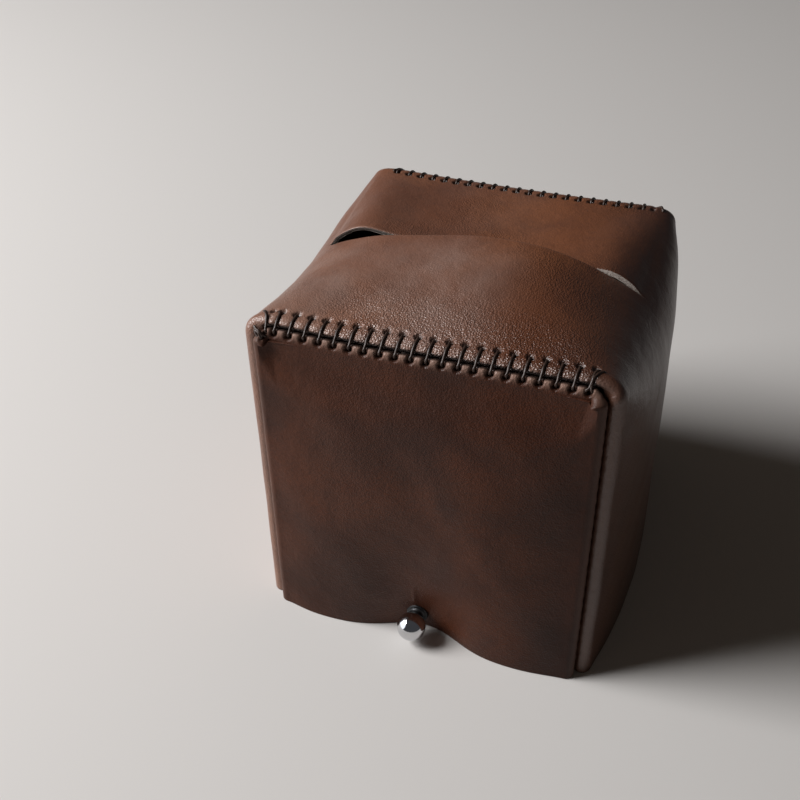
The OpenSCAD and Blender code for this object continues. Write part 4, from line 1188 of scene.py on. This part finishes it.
STRIP_GRAIN = leather(
    "brown_leather_grain", deep=(0.132, 0.038, 0.0105), warm=(0.190, 0.060, 0.018),
    dark=(0.080, 0.024, 0.0085), shift=(3.1, 0.7, 1.9), pebbled=0.36, painted_sheen=0.17, shade=0.72,
    coat=0.55, ior=1.5, wear_and_highlight_amount=0.35)
PANEL_GRAIN = leather(
    "dark_brown_leather_grain", deep=(0.044, 0.0140, 0.0070), warm=(0.084, 0.0245, 0.0100),
    dark=(0.026, 0.0095, 0.006), shift=(0.6, 2.3, 4.4), pebbled=0.14, painted_sheen=0.012, shade=0.45,
    coat=0.04, ior=1.27, wear_and_highlight_amount=0.8)
FLESH = plain_leather("leather_flesh_side", colour=(0.150, 0.072, 0.040),
                      darker=(0.085, 0.040, 0.022), rough=0.9, size=1.2, depth=0.25)
RAW = plain_leather("leather_raw_edge", colour=(0.60, 0.54, 0.50),
                    darker=(0.26, 0.21, 0.18), rough=0.85, size=0.5, depth=0.3)
CUT = plain_leather("leather_finished_edge", colour=(0.045, 0.020, 0.012),
                    darker=(0.025, 0.012, 0.008), rough=0.5, size=0.8, depth=0.1)
STRIP_SKINS, PANEL_SKINS = (STRIP_GRAIN, FLESH, RAW, CUT), (PANEL_GRAIN, FLESH, RAW, CUT)
THREAD = waxed_thread("dark_waxed_thread", dark=(0.012, 0.006, 0.004), light=(0.050, 0.026, 0.017),
                      noise=(0.5, 3.0, 0.6, 0.0), depth=0.08, rough=0.42, specular=0.45)
METAL = polished_metal("mirror_metal", rough=0.04)
SCREW_METAL = polished_metal("screw_metal", rough=0.22)
# Near-black metal for the stud's neck and disc: painted shade under the ball
SHADED_FOOT_METAL = polished_metal("painted_shade_foot_metal", rough=0.45, tone=0.12)
PALE_FLOOR = Look("pale_floor").finish(
    {"Base Color": (0.70, 0.685, 0.675), "Roughness": 0.75, "Specular IOR Level": 0.1})


def part(obj, replaced, body):
    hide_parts(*replaced)
    if body:
        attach(obj, body)
    return obj


part(leather_strip(STRIP_SKINS), ["body_strip"], "cover")
for side, depth in ((FRONT, "front"), (BACK, "back")):
    part(leather_panel(side, depth + "_panel_leather", PANEL_SKINS), [depth + "_panel"], "cover")
for side, name, loose in ((FRONT, "front_lacing", [KNOT]), (BACK, "back_lacing", [])):
    routes = [lacing_route(side)] + loose
    part(thread_mesh(name + "_thread", routes, LACE_D * LACING_SHARE, [THREAD]), [name], "cover")
for side, depth in ((FRONT, "front"), (BACK, "back")):
    for right, hand in ((False, "left"), (True, "right")):
        name = f"seam_thread_{depth}_{hand}"
        part(thread_mesh(name + "_cord", [corner_route(side, right)], SEAM_THREAD_D, [THREAD]),
             [name], "cover")
strap = part(leather_strap((PANEL_GRAIN, FLESH, CUT)), ["strap_tab", "bottom_strap"], None)
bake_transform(strap)
part(stud([METAL, SHADED_FOOT_METAL]), ["stud_head"], "cover")

for name, m in (("strap_stitching", THREAD), ("stud_screw", SCREW_METAL)):
    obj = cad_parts[name]
    obj.data.materials.clear()
    obj.data.materials.append(m)

# Floor, window light, surroundings and camera, in metres
FLOOR_HALF, FLOOR_DROP = 4, 0.0002
WINDOW_FROM = Vector((-0.754, -0.230, 0.616)).normalized()
WINDOW_DISTANCE, WINDOW_W, WINDOW_H = 1.6, 0.68, 0.86
WINDOW_POWER, WINDOW_COLOUR = 33.0, (1.0, 0.985, 0.97)
# The rest of the bright window wall, which shows in reflections alone
BRIGHT_SIDE, BRIGHT_EDGE = Vector((-0.90, -0.28, 0.33)).normalized(), (0.85, 0.88)
BRIGHT_COLOUR, MIRRORED_ROOM, ROOM, BACKDROP = (
    (1.5, 1.55, 1.7), (0.055, 0.056, 0.062), (0.034, 0.028, 0.023), (0.72, 0.71, 0.70))

# The camera stands where the photograph was taken. Its turns are in degrees
CAMERA_PLACE = Vector((103.3, -358.98, 353.27)) * MM
CAMERA_AZIMUTH, CAMERA_ELEVATION, CAMERA_ROLL = 20.465, 38.168, -1.782
CAMERA_LENS, SENSOR, CAMERA_CLIP = 56.886, 36.0, (0.01, 50)


def stage_floor():
    mesh = bpy.data.meshes.new("floor")
    corners = [(x * FLOOR_HALF, y * FLOOR_HALF, 0) for x, y in ((-1, -1), (1, -1), (1, 1), (-1, 1))]
    mesh.from_pydata(corners, [], [(0, 1, 2, 3)])
    mesh.materials.append(PALE_FLOOR)
    floor = placed("floor", mesh)
    floor.location.z = -FLOOR_DROP


def window_light():
    data = bpy.data.lights.new("window", "AREA")
    data.shape, data.size, data.size_y = "RECTANGLE", WINDOW_W, WINDOW_H
    data.energy, data.color = WINDOW_POWER, WINDOW_COLOUR
    lamp = placed("window", data)
    lamp.location = WINDOW_FROM * WINDOW_DISTANCE
    lamp.rotation_euler = WINDOW_FROM.to_track_quat("Z", "Y").to_euler()


def surroundings():
    world = bpy.data.worlds.new("room")
    world.use_nodes = True
    nodes = Nodes(world.node_tree)
    ray = nodes.add("LightPath").outputs
    heading = nodes.add("TexCoord").outputs["Generated"]
    towards = nodes.add("VectorMath", {0: heading, 1: BRIGHT_SIDE}, operation="DOT_PRODUCT")
    pane = nodes.spread(towards.outputs["Value"], *BRIGHT_EDGE)
    mirrored = nodes.mix(pane, MIRRORED_ROOM, BRIGHT_COLOUR)
    colour = nodes.mix(ray["Is Glossy Ray"], ROOM, mirrored)
    seen = nodes.maths("MAXIMUM", ray["Is Camera Ray"], ray["Is Transmission Ray"])
    background = world.node_tree.nodes["Background"]
    nodes.put(background.inputs["Color"], nodes.mix(seen, colour, BACKDROP))
    background.inputs["Strength"].default_value = 1.0
    bpy.context.scene.world = world


def camera():
    data = bpy.data.cameras.new("camera")
    data.sensor_width, data.lens = SENSOR, CAMERA_LENS
    data.clip_start, data.clip_end = CAMERA_CLIP
    az, el, roll = (math.radians(a) for a in (CAMERA_AZIMUTH, CAMERA_ELEVATION, CAMERA_ROLL))
    back = Vector((math.sin(az) * math.cos(el), -math.cos(az) * math.cos(el), math.sin(el)))
    right = Vector((math.cos(az), math.sin(az), 0))
    tilted = right * math.cos(roll) + back.cross(right) * math.sin(roll)
    turn = Matrix((tilted, back.cross(tilted), back)).transposed()
    obj = placed("camera", data)
    obj.matrix_world = Matrix.Translation(CAMERA_PLACE) @ turn.to_4x4()
    bpy.context.scene.camera = obj


stage_floor()
window_light()
surroundings()
camera()
bpy.context.scene.view_settings.view_transform = "Standard"
